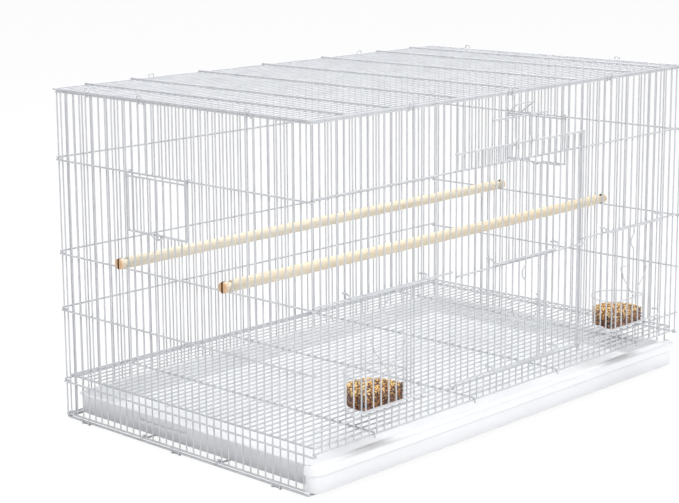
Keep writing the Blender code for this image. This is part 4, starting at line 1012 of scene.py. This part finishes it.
def latch(p):
    """The wire latch with its two eyes, its limbs over the lock bar and its finger bar."""
    s = p.s
    curl = (s.rail_wire + s.latch_wire) / 2 + 2 * s.fit_gap
    bar_top = s.height - s.lock_bar_drop + s.rail_wire / 2 - p.door_top_level
    bar_back = p.main_door_out - p.rail_out + s.rail_wire / 2
    radius = hypot(bar_top, bar_back) + s.latch_clearance + s.latch_wire / 2
    reach = asin(s.latch_reach / radius)
    x = -LATCH_HALF_GAPS * p.front_pitch

    def point(y, z):
        return (x, -p.main_door_out + y, p.door_top_level + z)

    half = [
        point(curl, curl / 2),
        point(curl, -curl),
        point(-curl, -curl),
        point(-curl, curl),
        point(0, s.latch_eye_rise),
    ]
    angles = [reach * k / LATCH_STEPS for k in range(LATCH_STEPS + 1)]
    half += [point(radius * sin(angle), radius * cos(angle)) for angle in angles]
    half += [
        point(s.latch_reach, radius * cos(reach) + s.latch_return),
        point(-s.finger_reach, radius + s.finger_rise),
    ]
    path = shifted(mirrored(half), p.front_x(sum(DOORWAY_UPRIGHTS) / 2))
    latch_body = "main_door_latch"
    wire_piece(p, "latch_wire", {s.latch_wire: [path]}, [], latch_body, latch_body, "front")


def feeder_door(p, side):
    """A sliding feeder door with its finger grip, and its spring."""
    s = p.s
    body = f"feeder_door_{side}"
    plane = -p.feeder_out - (p.main_door_out if side == "middle" else 0)
    centre = p.front_x(FEEDER_CENTRES[side])
    low, high = s.height - s.feeder_bottom_drop, s.height - s.feeder_top_drop
    guide, curl = FEEDER_GUIDE_GAPS * p.front_pitch, p.upright_curl
    behind = plane + p.feeder_out + curl
    rails = []
    for level in (low, high):
        rise = level + s.feeder_curl_rise
        half = [
            (-guide + curl, behind, rise),
            (-guide - curl, behind, rise),
            (-guide - curl, plane, rise),
            (-guide + 2 * curl, plane, level),
        ]
        rails.append(shifted(mirrored(half), centre))
    fine = []
    for k in range(-FEEDER_SIDE_GAPS, FEEDER_SIDE_GAPS + 1):
        x = centre + k * p.front_pitch
        if k:
            fine.append(upward(x, plane, low, high))
    top, bottom = s.height - s.grip_top_drop, s.height - s.grip_bottom_drop
    step = (top - bottom) / 3
    fine.append(
        [
            (centre, plane, high),
            (centre, plane, top),
            (centre - s.grip_jog, plane, top - step),
            (centre - s.grip_jog, plane, bottom + step),
            (centre, plane, bottom),
            (centre, plane, low),
        ]
    )
    wires = {s.rail_wire: rails, s.upright_wire: fine}
    wire_piece(p, f"{body}_wires", wires, [], body, body, "front")
    curl = (s.upright_wire + s.clip_wire) / 2 + s.fit_gap
    edge = (FEEDER_SIDE_GAPS - 1) * p.front_pitch
    eye, apex = s.height - s.spring_eye_drop, s.height - s.spring_apex_drop
    ear = s.spring_ear
    half = [
        (-edge + curl + ear / 2, plane - curl, eye + ear),
        (-edge + curl, plane + curl, eye + ear),
        (-edge - curl, plane + curl, eye + ear / 2),
        (-edge - curl, plane - curl, eye),
        (-edge, plane - curl, eye - ear),
    ]
    path = half + [(0, plane - curl, apex)] + [(-x, y, z) for x, y, z in reversed(half)]
    wires = {s.clip_wire: [shifted(path, centre)]}
    name = f"feeder_spring_{side}"
    wire_piece(p, f"{name}_wire", wires, [], body, name, "front")


def side_door(p, side):
    """A side door that hangs by two hooks, with a notched bottom wire."""
    s, sign = p.s, SIDE_SIGNS[side]
    ends = sorted(-sign * p.side_y(k) for k in SIDE_DOOR_UPRIGHTS)
    left, right = ends[0] - s.side_door_overlap, ends[1] + s.side_door_overlap
    middle = (left + right) / 2
    level = p.side_door_level
    head, foot = level - s.side_door_head_drop, level - s.side_door_height
    half, plane = s.rail_wire / 2, -p.door_out
    notch = s.side_door_notch_width / 2
    rails = [
        across(left - half, right + half, plane, head),
        [
            (left - half, plane, foot),
            (middle - notch, plane, foot),
            (middle, plane, foot - s.side_door_notch),
            (middle + notch, plane, foot),
            (right + half, plane, foot),
        ],
    ]
    fine = []
    for k in range(SIDE_DOOR_UPRIGHTS[0] + 1, SIDE_DOOR_UPRIGHTS[1]):
        x = -sign * p.side_y(k)
        sag = max(0, 1 - abs(x - middle) / notch) * s.side_door_notch
        fine.append(upward(x, plane, foot - sag, head))
    curl = p.hinge_curl
    for x in (left, right):
        fine.append(
            [
                (x, plane, foot),
                (x, plane, level + curl),
                (x, -p.rail_out + curl, level + curl),
                (x, -p.rail_out + curl, level - curl / 2),
            ]
        )
    wires = {s.rail_wire: rails, s.upright_wire: fine}
    body = f"side_door_{side}"
    wire_piece(p, f"{body}_wires", wires, [], body, body, side)


def bridged(loops, material, name, bevel=0.0):
    """A closed shell through loops of points, capped at both ends, with round edges if a bevel is given."""
    shapes = bmesh.new()
    rings = [[shapes.verts.new(point) for point in loop] for loop in loops]
    count = len(rings[0])
    shapes.faces.new(reversed(rings[0]))
    shapes.faces.new(rings[-1])
    for lower, upper in zip(rings, rings[1:]):
        for i in range(count):
            j = (i + 1) % count
            shapes.faces.new((lower[i], lower[j], upper[j], upper[i]))
    bmesh.ops.recalc_face_normals(shapes, faces=shapes.faces)
    mesh = bpy.data.meshes.new(name)
    shapes.to_mesh(mesh)
    shapes.free()
    mesh.materials.append(material)
    if bevel:
        mesh = rounded(mesh, bevel)
    mesh.shade_smooth()
    mesh.set_sharp_from_angle(angle=SHARP_MOULDED_ANGLE)
    return mesh


def rounded(mesh, width):
    """The same mesh with a round bevel along its sharp edges."""
    settings = {
        "width": width,
        "segments": BEVEL_STEPS,
        "limit_method": "ANGLE",
        "angle_limit": BEVEL_ANGLE,
        "harden_normals": False,
    }
    return evaluated(mesh, "BEVEL", settings)


def block(low, high, material, name, bevel):
    """A small block, with round edges if a bevel is given."""
    loops = [rectangle(low[0], high[0], low[1], high[1], z)[:-1] for z in (low[2], high[2])]
    return bridged(loops, material, name, bevel)


def slotted(mesh, low, high, material):
    """The same mesh with a box cut out of it."""
    cutter = bpy.data.objects.new("slot_cutter", block(low, high, material, "slot_box", 0))
    bpy.context.scene.collection.objects.link(cutter)
    made = evaluated(mesh, "BOOLEAN", {"operation": "DIFFERENCE", "solver": "EXACT", "object": cutter})
    bpy.data.objects.remove(cutter)
    return made


def arc(x, y, radius, start, sweep, steps):
    """Points along part of a circle, with both of its ends."""
    angles = [start + sweep * step / steps for step in range(steps + 1)]
    return [(x + radius * cos(angle), y + radius * sin(angle)) for angle in angles]


def front_corners(half, front, radius, steps, depth=0.0):
    """A plan's two round front corners, or lines at a depth within them. It spans -half to half."""
    y, drawn = front + radius, radius - depth
    left = arc(radius - half, y, drawn, pi, pi / 2, steps)
    return left + arc(half - radius, y, drawn, 1.5 * pi, pi / 2, steps)


def raised(plan, level):
    """A plan of points at a level."""
    return [(x, y, level) for x, y in plan]


def perch(p, side):
    """A turned wooden perch with a neck and a knob at each end."""
    s = p.s
    inner = s.width / 2 - s.upright_wire / 2 - s.perch_edge
    outer = s.width / 2 + p.rail_out + s.rail_wire / 2 + s.perch_edge
    end = outer + s.perch_knob_length
    body, neck, knob, edge = s.perch_diameter / 2, s.perch_neck / 2, s.perch_knob / 2, s.perch_edge
    half = [(-end, knob - edge)]
    half += [(-end + edge * (1 - cos(a)), knob - edge + edge * sin(a)) for a in (pi / 6, pi / 3, pi / 2)]
    half += [
        (-outer - edge, knob),
        (-outer - edge / 2, knob - edge / 4),
        (-outer, neck),
        (-inner, neck),
        (-inner + edge / 2, body - edge / 2),
        (-inner + edge, body - edge / 8),
        (-inner + 2 * edge, body),
    ]
    profile = half + [(-x, radius) for x, radius in reversed(half)]
    level = s.height - s.middle_drop - p.hook_step + s.rail_wire / 2 + s.fit_gap + neck
    y = p.side_y(PERCH_UPRIGHTS[side])
    rings = [(x, arc(y, level, radius, 0, 2 * pi, PERCH_SIDES)[:-1]) for x, radius in profile]
    loops = [[(x, *at) for at in ring] for x, ring in rings]
    wood = finish_named("turned_wood_finish", wood_material, p.f)
    mesh = bridged(loops, wood, f"perch_{side}_dowel")
    for sign in (-1, 1):
        xs = sorted((sign * (end - s.perch_slot_depth), sign * (end + edge)))
        mesh = slotted(
            mesh,
            (xs[0], y - s.perch_slot / 2, level - s.perch_diameter),
            (xs[1], y + s.perch_slot / 2, level + s.perch_diameter),
            wood,
        )
    mesh.set_sharp_from_angle(angle=SHARP_MOULDED_ANGLE)
    fade = s.perch_knob_length / 2
    point_attribute(mesh, "end_grain", lambda at: (abs(at.x) - end + fade) / fade)
    # Marks the walls of the saw cuts for their painted shade, near black.
    layer = mesh.attributes.new("saw_cut_painted_shade", "FLOAT", "FACE")
    walls = []
    for face in mesh.polygons:
        deep = end - s.perch_slot_depth - edge < abs(face.center.x) < end - edge / 8
        near = abs(face.center.y - y) < s.perch_slot * SAW_WALL_SHARE
        walls.append(1.0 if deep and near and abs(face.normal.z) < LEVEL_NORMAL else 0.0)
    layer.data.foreach_set("value", walls)
    placed_piece(f"perch_{side}_dowel", mesh, f"perch_{side}", [f"perch_{side}"])


def cup_outline(s, width, inset, level):
    """The D of a cup seen from above: flat in front with two round corners, half an ellipse behind."""
    half = width / 2 - inset
    corner = max(s.cup_corner - inset, CUP_EDGE)
    straight, depth = s.cup_straight - inset, s.cup_depth - 2 * inset
    angles = [pi * step / CUP_BACK_STEPS for step in range(CUP_BACK_STEPS + 1)]
    behind = [(half * cos(angle), inset + straight + (depth - straight) * sin(angle)) for angle in angles]
    return raised(behind + front_corners(half, inset, corner, CUP_CORNER_STEPS), level)


def seed_cup(p, side):
    """A clear cup with lugs round the jambs, and the seeds in it."""
    s = p.s
    jamb = FEEDER_SIDE_GAPS * p.front_pitch
    width = 2 * (jamb - s.upright_wire / 2 - s.cup_side_gap)
    low = p.sill_level + s.rail_wire / 2 + s.fit_gap
    top, floor_level = low + s.cup_height, low + s.cup_floor
    grip = s.upright_wire / 2 + s.fit_gap
    front = -grip - s.cup_lug_thickness
    back_step = front - s.cup_lug_set_back

    def outline(inset, level):
        return [(x, y + back_step, z) for x, y, z in cup_outline(s, width, inset, level)]

    lip, wall, draft = s.cup_lip, s.cup_wall, s.cup_draft
    within = lip + wall + draft
    profile = [
        (lip + draft + CUP_FOOT, low),
        (lip + draft, low + CUP_FOOT),
        (lip, top - s.cup_lip_height),
        (0, top - s.cup_lip_height),
        (0, top - CUP_EDGE),
        (CUP_EDGE, top),
        (lip + wall - CUP_EDGE, top),
        (lip + wall, top - CUP_EDGE),
        (within - CUP_FILLET_OUT, floor_level + CUP_FILLET_RISE),
        (within + CUP_FILLET_IN, floor_level),
    ]
    clear = finish_named("clear_cup_finish", clear_material, p.f)
    shell = bridged([outline(inset, level) for inset, level in profile], clear, "cup_shell")
    meshes = [shell]
    high = top - s.cup_lip_height / 2
    side_wall_x = width / 2 - lip - draft
    for sign in (-1, 1):
        for near, y in ((side_wall_x - 2 * s.cup_corner, front), (side_wall_x - wall / 4, grip)):
            xs = sorted((sign * near, sign * (jamb + s.cup_lug)))
            lowest = xs[0], y, high - s.cup_lug_height
            highest = xs[1], y + s.cup_lug_thickness, high
            meshes.append(block(lowest, highest, clear, "cup_lug", LUG_BEVEL))
    # Marks the lip's faces for their painted shade, and makes them less see-through.
    rim = shell.attributes.new("cup_rim", "FLOAT", "FACE")
    at_lip = [face.center.z > top - CUP_RIM_DEPTH for face in shell.polygons]
    rim.data.foreach_set("value", [CUP_RIM_SHARE * each for each in at_lip])
    name = f"seed_cup_{side}"
    place = Matrix.Translation((p.front_x(FEEDER_CENTRES[side]), -s.depth / 2, 0))
    mesh = joined_meshes(f"{name}_clear", meshes)
    mesh.transform(place)
    placed_piece(f"{name}_clear", mesh, name, [name])

    inside, edge_level = within + s.seed_long * BED_INSET_SHARE, low + s.seed_fill
    foot = outline(inside, floor_level + s.seed_long * BED_INSET_SHARE)
    loops = [foot, outline(inside - draft / 2, edge_level)]
    middle = back_step + s.cup_depth / 2
    for share in HEAP_SHARES:
        ring = outline(inside, edge_level + s.seed_heap * (1 - share * share))
        loops.append([(x * share, middle + (y - middle) * share, z) for x, y, z in ring])
    bed = bridged(loops, finish_named("deep_seed_finish", bed_material, p.f), "seed_bed")
    seed_finish = finish_named("mixed_seed_finish", seed_material, p.f)
    values = {
        "Density": SEED_DENSITY,
        "Half length": s.seed_long,
        "Seed": s.seed_seed + FEEDER_CENTRES[side],
        "Material": seed_finish,
    }
    seeds = grown(bed.copy(), "Scattered seeds", scattered_seed_tree, values)
    for material in list(seeds.materials):
        if material and material != seed_finish:
            seeds.materials.pop(index=list(seeds.materials).index(material))
    point_attribute(seeds, "seed_height", lambda at: (at.z - low) / (s.seed_fill + s.seed_heap))
    for mesh in (bed, seeds):
        mesh.transform(place)
    placed_piece(f"{name}_seed_bed", bed, name)
    placed_piece(f"{name}_seeds", seeds, name)


def rounded_rectangle(left, right, front, back, radius, level):
    """A rectangle with round corners at one level."""
    radius = max(radius, LEAST_CORNER)
    plan = arc(right - radius, back - radius, radius, 0, pi / 2, CORNER_STEPS)
    plan += arc(left + radius, back - radius, radius, pi / 2, pi / 2, CORNER_STEPS)
    plan += arc(left + radius, front + radius, radius, pi, pi / 2, CORNER_STEPS)
    plan += arc(right - radius, front + radius, radius, 1.5 * pi, pi / 2, CORNER_STEPS)
    return raised(plan, level)


def drawer_strip(s, out, thickness, low_back):
    """The plan of the drawer front's wall, which goes round both front corners."""
    half = s.width / 2 - s.tray_front_side_gap + out
    front = -s.depth / 2 - s.tray_front_out - out
    radius = s.tray_corner + out
    plan = [(-half, low_back), *front_corners(half, front, radius, CORNER_STEPS), (half, low_back)]
    plan.append((half - thickness, low_back))
    plan += front_corners(half, front, radius, CORNER_STEPS, thickness)[::-1]
    return plan + [(thickness - half, low_back)]


def tray_pan(s, bottom, top):
    """The sections of the tray's pan, from under its floor over the rim and down to the floor again."""
    half = s.width / 2 - s.tray_side_gap
    front, back = -s.depth / 2 + s.tray_ledge, s.depth / 2 - s.tray_back_gap
    rim, wall, draft = s.tray_rim, s.tray_wall, s.tray_draft
    profile = [
        (rim + draft + PAN_EDGE, bottom),
        (rim + draft * PAN_EDGE_DRAFT, bottom + PAN_EDGE),
        (rim, top - wall),
        (RIM_LOW_EDGE, top - wall),
        (0, top - wall / 2),
        (RIM_HIGH_EDGE[0], top - RIM_HIGH_EDGE[1]),
        (RIM_EDGE, top),
        (rim + wall - RIM_EDGE, top),
        (rim + wall, top - RIM_EDGE),
        (rim + wall + draft * PAN_EDGE_DRAFT, bottom + wall + PAN_FILLET),
        (rim + wall + draft + PAN_FILLET, bottom + wall),
    ]
    loops = []
    for inset, level in profile:
        ends = -half + inset, half - inset, front + inset, back - inset
        loops.append(rounded_rectangle(*ends, s.tray_corner - inset, level))
    return loops


def drawer_front(s, low_back):
    """The sections of the drawer front's wall, and of the round-edged band along its top."""
    bottom, top = s.tray_front_bottom, s.tray_front_top
    round_off, bead = s.tray_bead_round, s.tray_bead
    walls = [(bottom, -DRAWER_EDGE_INSET), (bottom + DRAWER_EDGE_RISE, 0.0), (top - round_off, 0.0)]
    quarter = [pi / 2 * k / BAND_STEPS for k in range(BAND_STEPS + 1)]
    band = [(s.tray_bead_bottom, -s.fit_gap)]
    for angle in quarter:
        hollow = (bead + s.fit_gap) * (1 - sin(angle)) * BAND_HOLLOW_SHARE * cos(angle)
        band.append((s.tray_bead_bottom + round_off * sin(angle), bead - hollow))
    for angle in quarter:
        band.append((top - round_off * (1 - sin(angle)), bead - round_off * (1 - cos(angle))))

    def sections(profile, inward):
        return [raised(drawer_strip(s, out, inward + out, low_back), level) for level, out in profile]

    return sections(walls, s.tray_wall), sections(band, s.tray_wall + s.fit_gap)


def tray(p):
    """The tray: pan, drawer front with its band, ledge and end ribs."""
    s = p.s
    plastic = finish_named("moulded_tray_finish", tray_material, p.f)
    bottom, wall = p.tray_bottom, s.tray_wall
    top = bottom + s.tray_height
    low_back = -s.depth / 2 + s.side_front_setback - s.rail_wire / 2 - s.fit_gap
    wall_loops, band_loops = drawer_front(s, low_back)
    meshes = [
        bridged(tray_pan(s, bottom, top), plastic, "pan"),
        bridged(wall_loops, plastic, "drawer_wall"),
        bridged(band_loops, plastic, "drawer_band"),
    ]
    half = s.width / 2 - s.tray_front_side_gap - wall / 2
    front = -s.depth / 2 - s.tray_front_out + wall / 2
    plan = front_corners(half, front, s.tray_corner - wall / 2, CORNER_STEPS)
    plan += [(half, low_back - s.fit_gap), (-half, low_back - s.fit_gap)]
    ledge_top = top - s.tray_ledge_drop
    loops = [raised(plan, level) for level in (ledge_top - wall, ledge_top)]
    meshes.append(bridged(loops, plastic, "ledge", LEDGE_BEVEL))
    level, rib = bottom + s.tray_rib_level, s.tray_rib_height / 2
    rib_back = s.depth / 2 - s.tray_rib_back
    plan = arc(rib_back - rib, level, rib, -pi / 2, pi, RIB_STEPS)
    plan += arc(rib_back - s.tray_rib_length + rib, level, rib, pi / 2, pi, RIB_STEPS)
    for sign in (-1, 1):
        outer = sign * (s.width / 2 - s.tray_side_gap - s.tray_rim)
        inner = outer - sign * (s.tray_draft + wall / 2)
        loops = [[(x, y, z) for y, z in plan] for x in (inner, outer + sign * s.tray_rib_depth)]
        meshes.append(bridged(loops, plastic, "rib", RIB_BEVEL))
    placed_piece("tray_moulding", joined_meshes("tray_moulding", meshes), "tray", ["tray"])


# Studio


def studio_light(name, place, aim, size, power):
    """A soft square lamp that looks at a point."""
    light = bpy.data.lights.new(name, "AREA")
    light.shape = "SQUARE"
    light.size = size
    light.energy = power
    lamp = bpy.data.objects.new(name, light)
    lamp.location = place
    lamp.rotation_euler = (Vector(aim) - Vector(place)).to_track_quat("-Z", "Y").to_euler()
    bpy.context.scene.collection.objects.link(lamp)


def floor_material(name, f):
    """A pale floor that the camera sees as almost white and that keeps soft shadows."""
    paint = Paint(name)
    tree = paint.tree
    paint.to("Base Color", paint.mixed(paint.noise(3, 2.0), scaled(f.floor), scaled(f.floor, 0.985)))
    paint.shader.inputs["Roughness"].default_value = 0.9
    paint.shader.inputs["Specular IOR Level"].default_value = 0.0
    shown = added(tree, "ShaderNodeEmission", {"Color": WHITE, "Strength": FLOOR_GLOW})
    rays = added(tree, "ShaderNodeLightPath")
    seen = added(
        tree,
        "ShaderNodeMath",
        {0: rays.outputs["Is Camera Ray"], 1: FLOOR_GLOW_SHARE},
        operation="MULTIPLY",
    )
    parts = {0: seen.outputs["Value"], 1: paint.shader.outputs[0], 2: shown.outputs[0]}
    blend = added(tree, "ShaderNodeMixShader", parts)
    tree.links.new(blend.outputs[0], tree.nodes["Material Output"].inputs["Surface"])
    return paint.material


def studio_world(scene):
    """Soft light from all round, and plain white where the camera looks past the object."""
    world = bpy.data.worlds.new("studio")
    scene.world = world
    world.use_nodes = True
    tree = world.node_tree
    tree.nodes.clear()
    rays = added(tree, "ShaderNodeLightPath").outputs
    lit = added(tree, "ShaderNodeBackground", {"Color": WORLD_TINT, "Strength": WORLD_STRENGTH})
    white = added(tree, "ShaderNodeBackground", {"Color": WHITE, "Strength": 1.0})
    direct = added(
        tree,
        "ShaderNodeMath",
        {0: rays["Is Camera Ray"], 1: rays["Is Transmission Ray"]},
        operation="MAXIMUM",
    )
    parts = {0: direct.outputs["Value"], 1: lit.outputs[0], 2: white.outputs[0]}
    blend = added(tree, "ShaderNodeMixShader", parts)
    added(tree, "ShaderNodeOutputWorld", {"Surface": blend.outputs[0]})


def studio(scene, p):
    """Floor, lamps, world and the camera at the photograph's angle."""
    mesh = bpy.data.meshes.new("studio_floor")
    corners = rectangle(-FLOOR_REACH, FLOOR_REACH, -FLOOR_REACH, FLOOR_REACH, 0)[:-1]
    mesh.from_pydata(corners, [], [(0, 1, 2, 3)])
    mesh.materials.append(finish_named("studio_floor_finish", floor_material, p.f))
    floor = bpy.data.objects.new("studio_floor", mesh)
    scene.collection.objects.link(floor)
    floor.location.z = -FLOOR_DROP
    studio_world(scene)
    for name, (place, size, power) in LAMPS.items():
        studio_light(name, place, (0, 0, p.s.height / 2), size, power)
    scene.view_settings.view_transform = "Standard"
    lens = bpy.data.cameras.new("photo_camera")
    lens.lens, lens.sensor_width = CAMERA_LENS, CAMERA_SENSOR
    lens.sensor_fit = "HORIZONTAL"
    lens.shift_x, lens.shift_y = CAMERA_SHIFT
    lens.clip_start, lens.clip_end = CAMERA_CLIP
    camera = bpy.data.objects.new("photo_camera", lens)
    camera.location = CAMERA_PLACE
    camera.rotation_euler = Euler([radians(angle) for angle in CAMERA_TURN], "XYZ")
    scene.collection.objects.link(camera)
    scene.camera = camera


# Operators


class FLIGHTCAGE_OT_walls(bpy.types.Operator):
    """Make the four wire walls"""

    bl_idname = "flight_cage.walls"
    bl_label = "Walls"

    def execute(self, context):
        p = Plan(context.scene)
        front_wall(p)
        back_wall(p)
        for side in SIDE_SIGNS:
            side_wall(p, side)
        return {"FINISHED"}


class FLIGHTCAGE_OT_roof(bpy.types.Operator):
    """Make the roof and the clips that bind it"""

    bl_idname = "flight_cage.roof"
    bl_label = "Roof and Clips"

    def execute(self, context):
        p = Plan(context.scene)
        roof(p)
        roof_clips(p)
        return {"FINISHED"}


class FLIGHTCAGE_OT_floor(bpy.types.Operator):
    """Make the base wires and the grate"""

    bl_idname = "flight_cage.floor"
    bl_label = "Base and Grate"

    def execute(self, context):
        p = Plan(context.scene)
        base(p)
        grate(p)
        return {"FINISHED"}


class FLIGHTCAGE_OT_tray(bpy.types.Operator):
    """Make the slide-out tray"""

    bl_idname = "flight_cage.tray"
    bl_label = "Tray"

    def execute(self, context):
        tray(Plan(context.scene))
        return {"FINISHED"}


class FLIGHTCAGE_OT_main_door(bpy.types.Operator):
    """Make the tall front door and its latch"""

    bl_idname = "flight_cage.main_door"
    bl_label = "Front Door and Latch"

    def execute(self, context):
        p = Plan(context.scene)
        main_door(p)
        latch(p)
        return {"FINISHED"}


class FLIGHTCAGE_OT_feeder_doors(bpy.types.Operator):
    """Make the three sliding feeder doors and their springs"""

    bl_idname = "flight_cage.feeder_doors"
    bl_label = "Feeder Doors"

    def execute(self, context):
        p = Plan(context.scene)
        for side in FEEDER_CENTRES:
            feeder_door(p, side)
        return {"FINISHED"}


class FLIGHTCAGE_OT_side_doors(bpy.types.Operator):
    """Make the two side doors"""

    bl_idname = "flight_cage.side_doors"
    bl_label = "Side Doors"

    def execute(self, context):
        p = Plan(context.scene)
        for side in SIDE_SIGNS:
            side_door(p, side)
        return {"FINISHED"}


class FLIGHTCAGE_OT_perches(bpy.types.Operator):
    """Make the two wooden perches"""

    bl_idname = "flight_cage.perches"
    bl_label = "Perches"

    def execute(self, context):
        p = Plan(context.scene)
        for side in PERCH_UPRIGHTS:
            perch(p, side)
        return {"FINISHED"}


class FLIGHTCAGE_OT_cups(bpy.types.Operator):
    """Make the two clear cups and the seeds in them"""

    bl_idname = "flight_cage.cups"
    bl_label = "Seed Cups"

    def execute(self, context):
        p = Plan(context.scene)
        for side in SIDE_SIGNS:
            seed_cup(p, side)
        return {"FINISHED"}


class FLIGHTCAGE_OT_studio(bpy.types.Operator):
    """Make the floor, the lamps and the camera"""

    bl_idname = "flight_cage.studio"
    bl_label = "Studio"

    def execute(self, context):
        studio(context.scene, Plan(context.scene))
        return {"FINISHED"}


OPERATORS = (
    FLIGHTCAGE_OT_studio,
    FLIGHTCAGE_OT_walls,
    FLIGHTCAGE_OT_roof,
    FLIGHTCAGE_OT_floor,
    FLIGHTCAGE_OT_tray,
    FLIGHTCAGE_OT_main_door,
    FLIGHTCAGE_OT_feeder_doors,
    FLIGHTCAGE_OT_side_doors,
    FLIGHTCAGE_OT_perches,
    FLIGHTCAGE_OT_cups,
)


class FLIGHTCAGE_PT_pieces(bpy.types.Panel):
    """Lists the pieces of the cage, with the main sizes and colours"""

    bl_idname = "FLIGHTCAGE_PT_pieces"
    bl_label = "Flight Cage"
    bl_space_type = "VIEW_3D"
    bl_region_type = "UI"
    bl_category = "Flight Cage"

    def draw(self, context):
        layout = self.layout
        for operator in OPERATORS:
            layout.operator(operator.bl_idname)
        sizes, finishes = context.scene.flight_cage_sizes, context.scene.flight_cage_finishes
        for name in ("upright_wire", "rail_wire", "bend", "bead_length", "seed_fill", "seed_seed"):
            layout.prop(sizes, name)
        for name in ("coat", "coat_shade", "coat_roughness", "tray", "clear", "wood", "floor"):
            layout.prop(finishes, name)


CLASSES = (FlightCageSizes, FlightCageFinishes, *OPERATORS, FLIGHTCAGE_PT_pieces)


def register():
    for each in CLASSES:
        bpy.utils.register_class(each)
    bpy.types.Scene.flight_cage_sizes = PointerProperty(type=FlightCageSizes)
    bpy.types.Scene.flight_cage_finishes = PointerProperty(type=FlightCageFinishes)


def unregister():
    del bpy.types.Scene.flight_cage_finishes
    del bpy.types.Scene.flight_cage_sizes
    for each in reversed(CLASSES):
        bpy.utils.unregister_class(each)


def main():
    """Makes every piece and the studio."""
    register()
    bpy.ops.flight_cage.studio()
    bpy.ops.flight_cage.walls()
    bpy.ops.flight_cage.roof()
    bpy.ops.flight_cage.floor()
    bpy.ops.flight_cage.tray()
    bpy.ops.flight_cage.main_door()
    bpy.ops.flight_cage.feeder_doors()
    bpy.ops.flight_cage.side_doors()
    bpy.ops.flight_cage.perches()
    bpy.ops.flight_cage.cups()


if __name__ == "__main__":
    main()
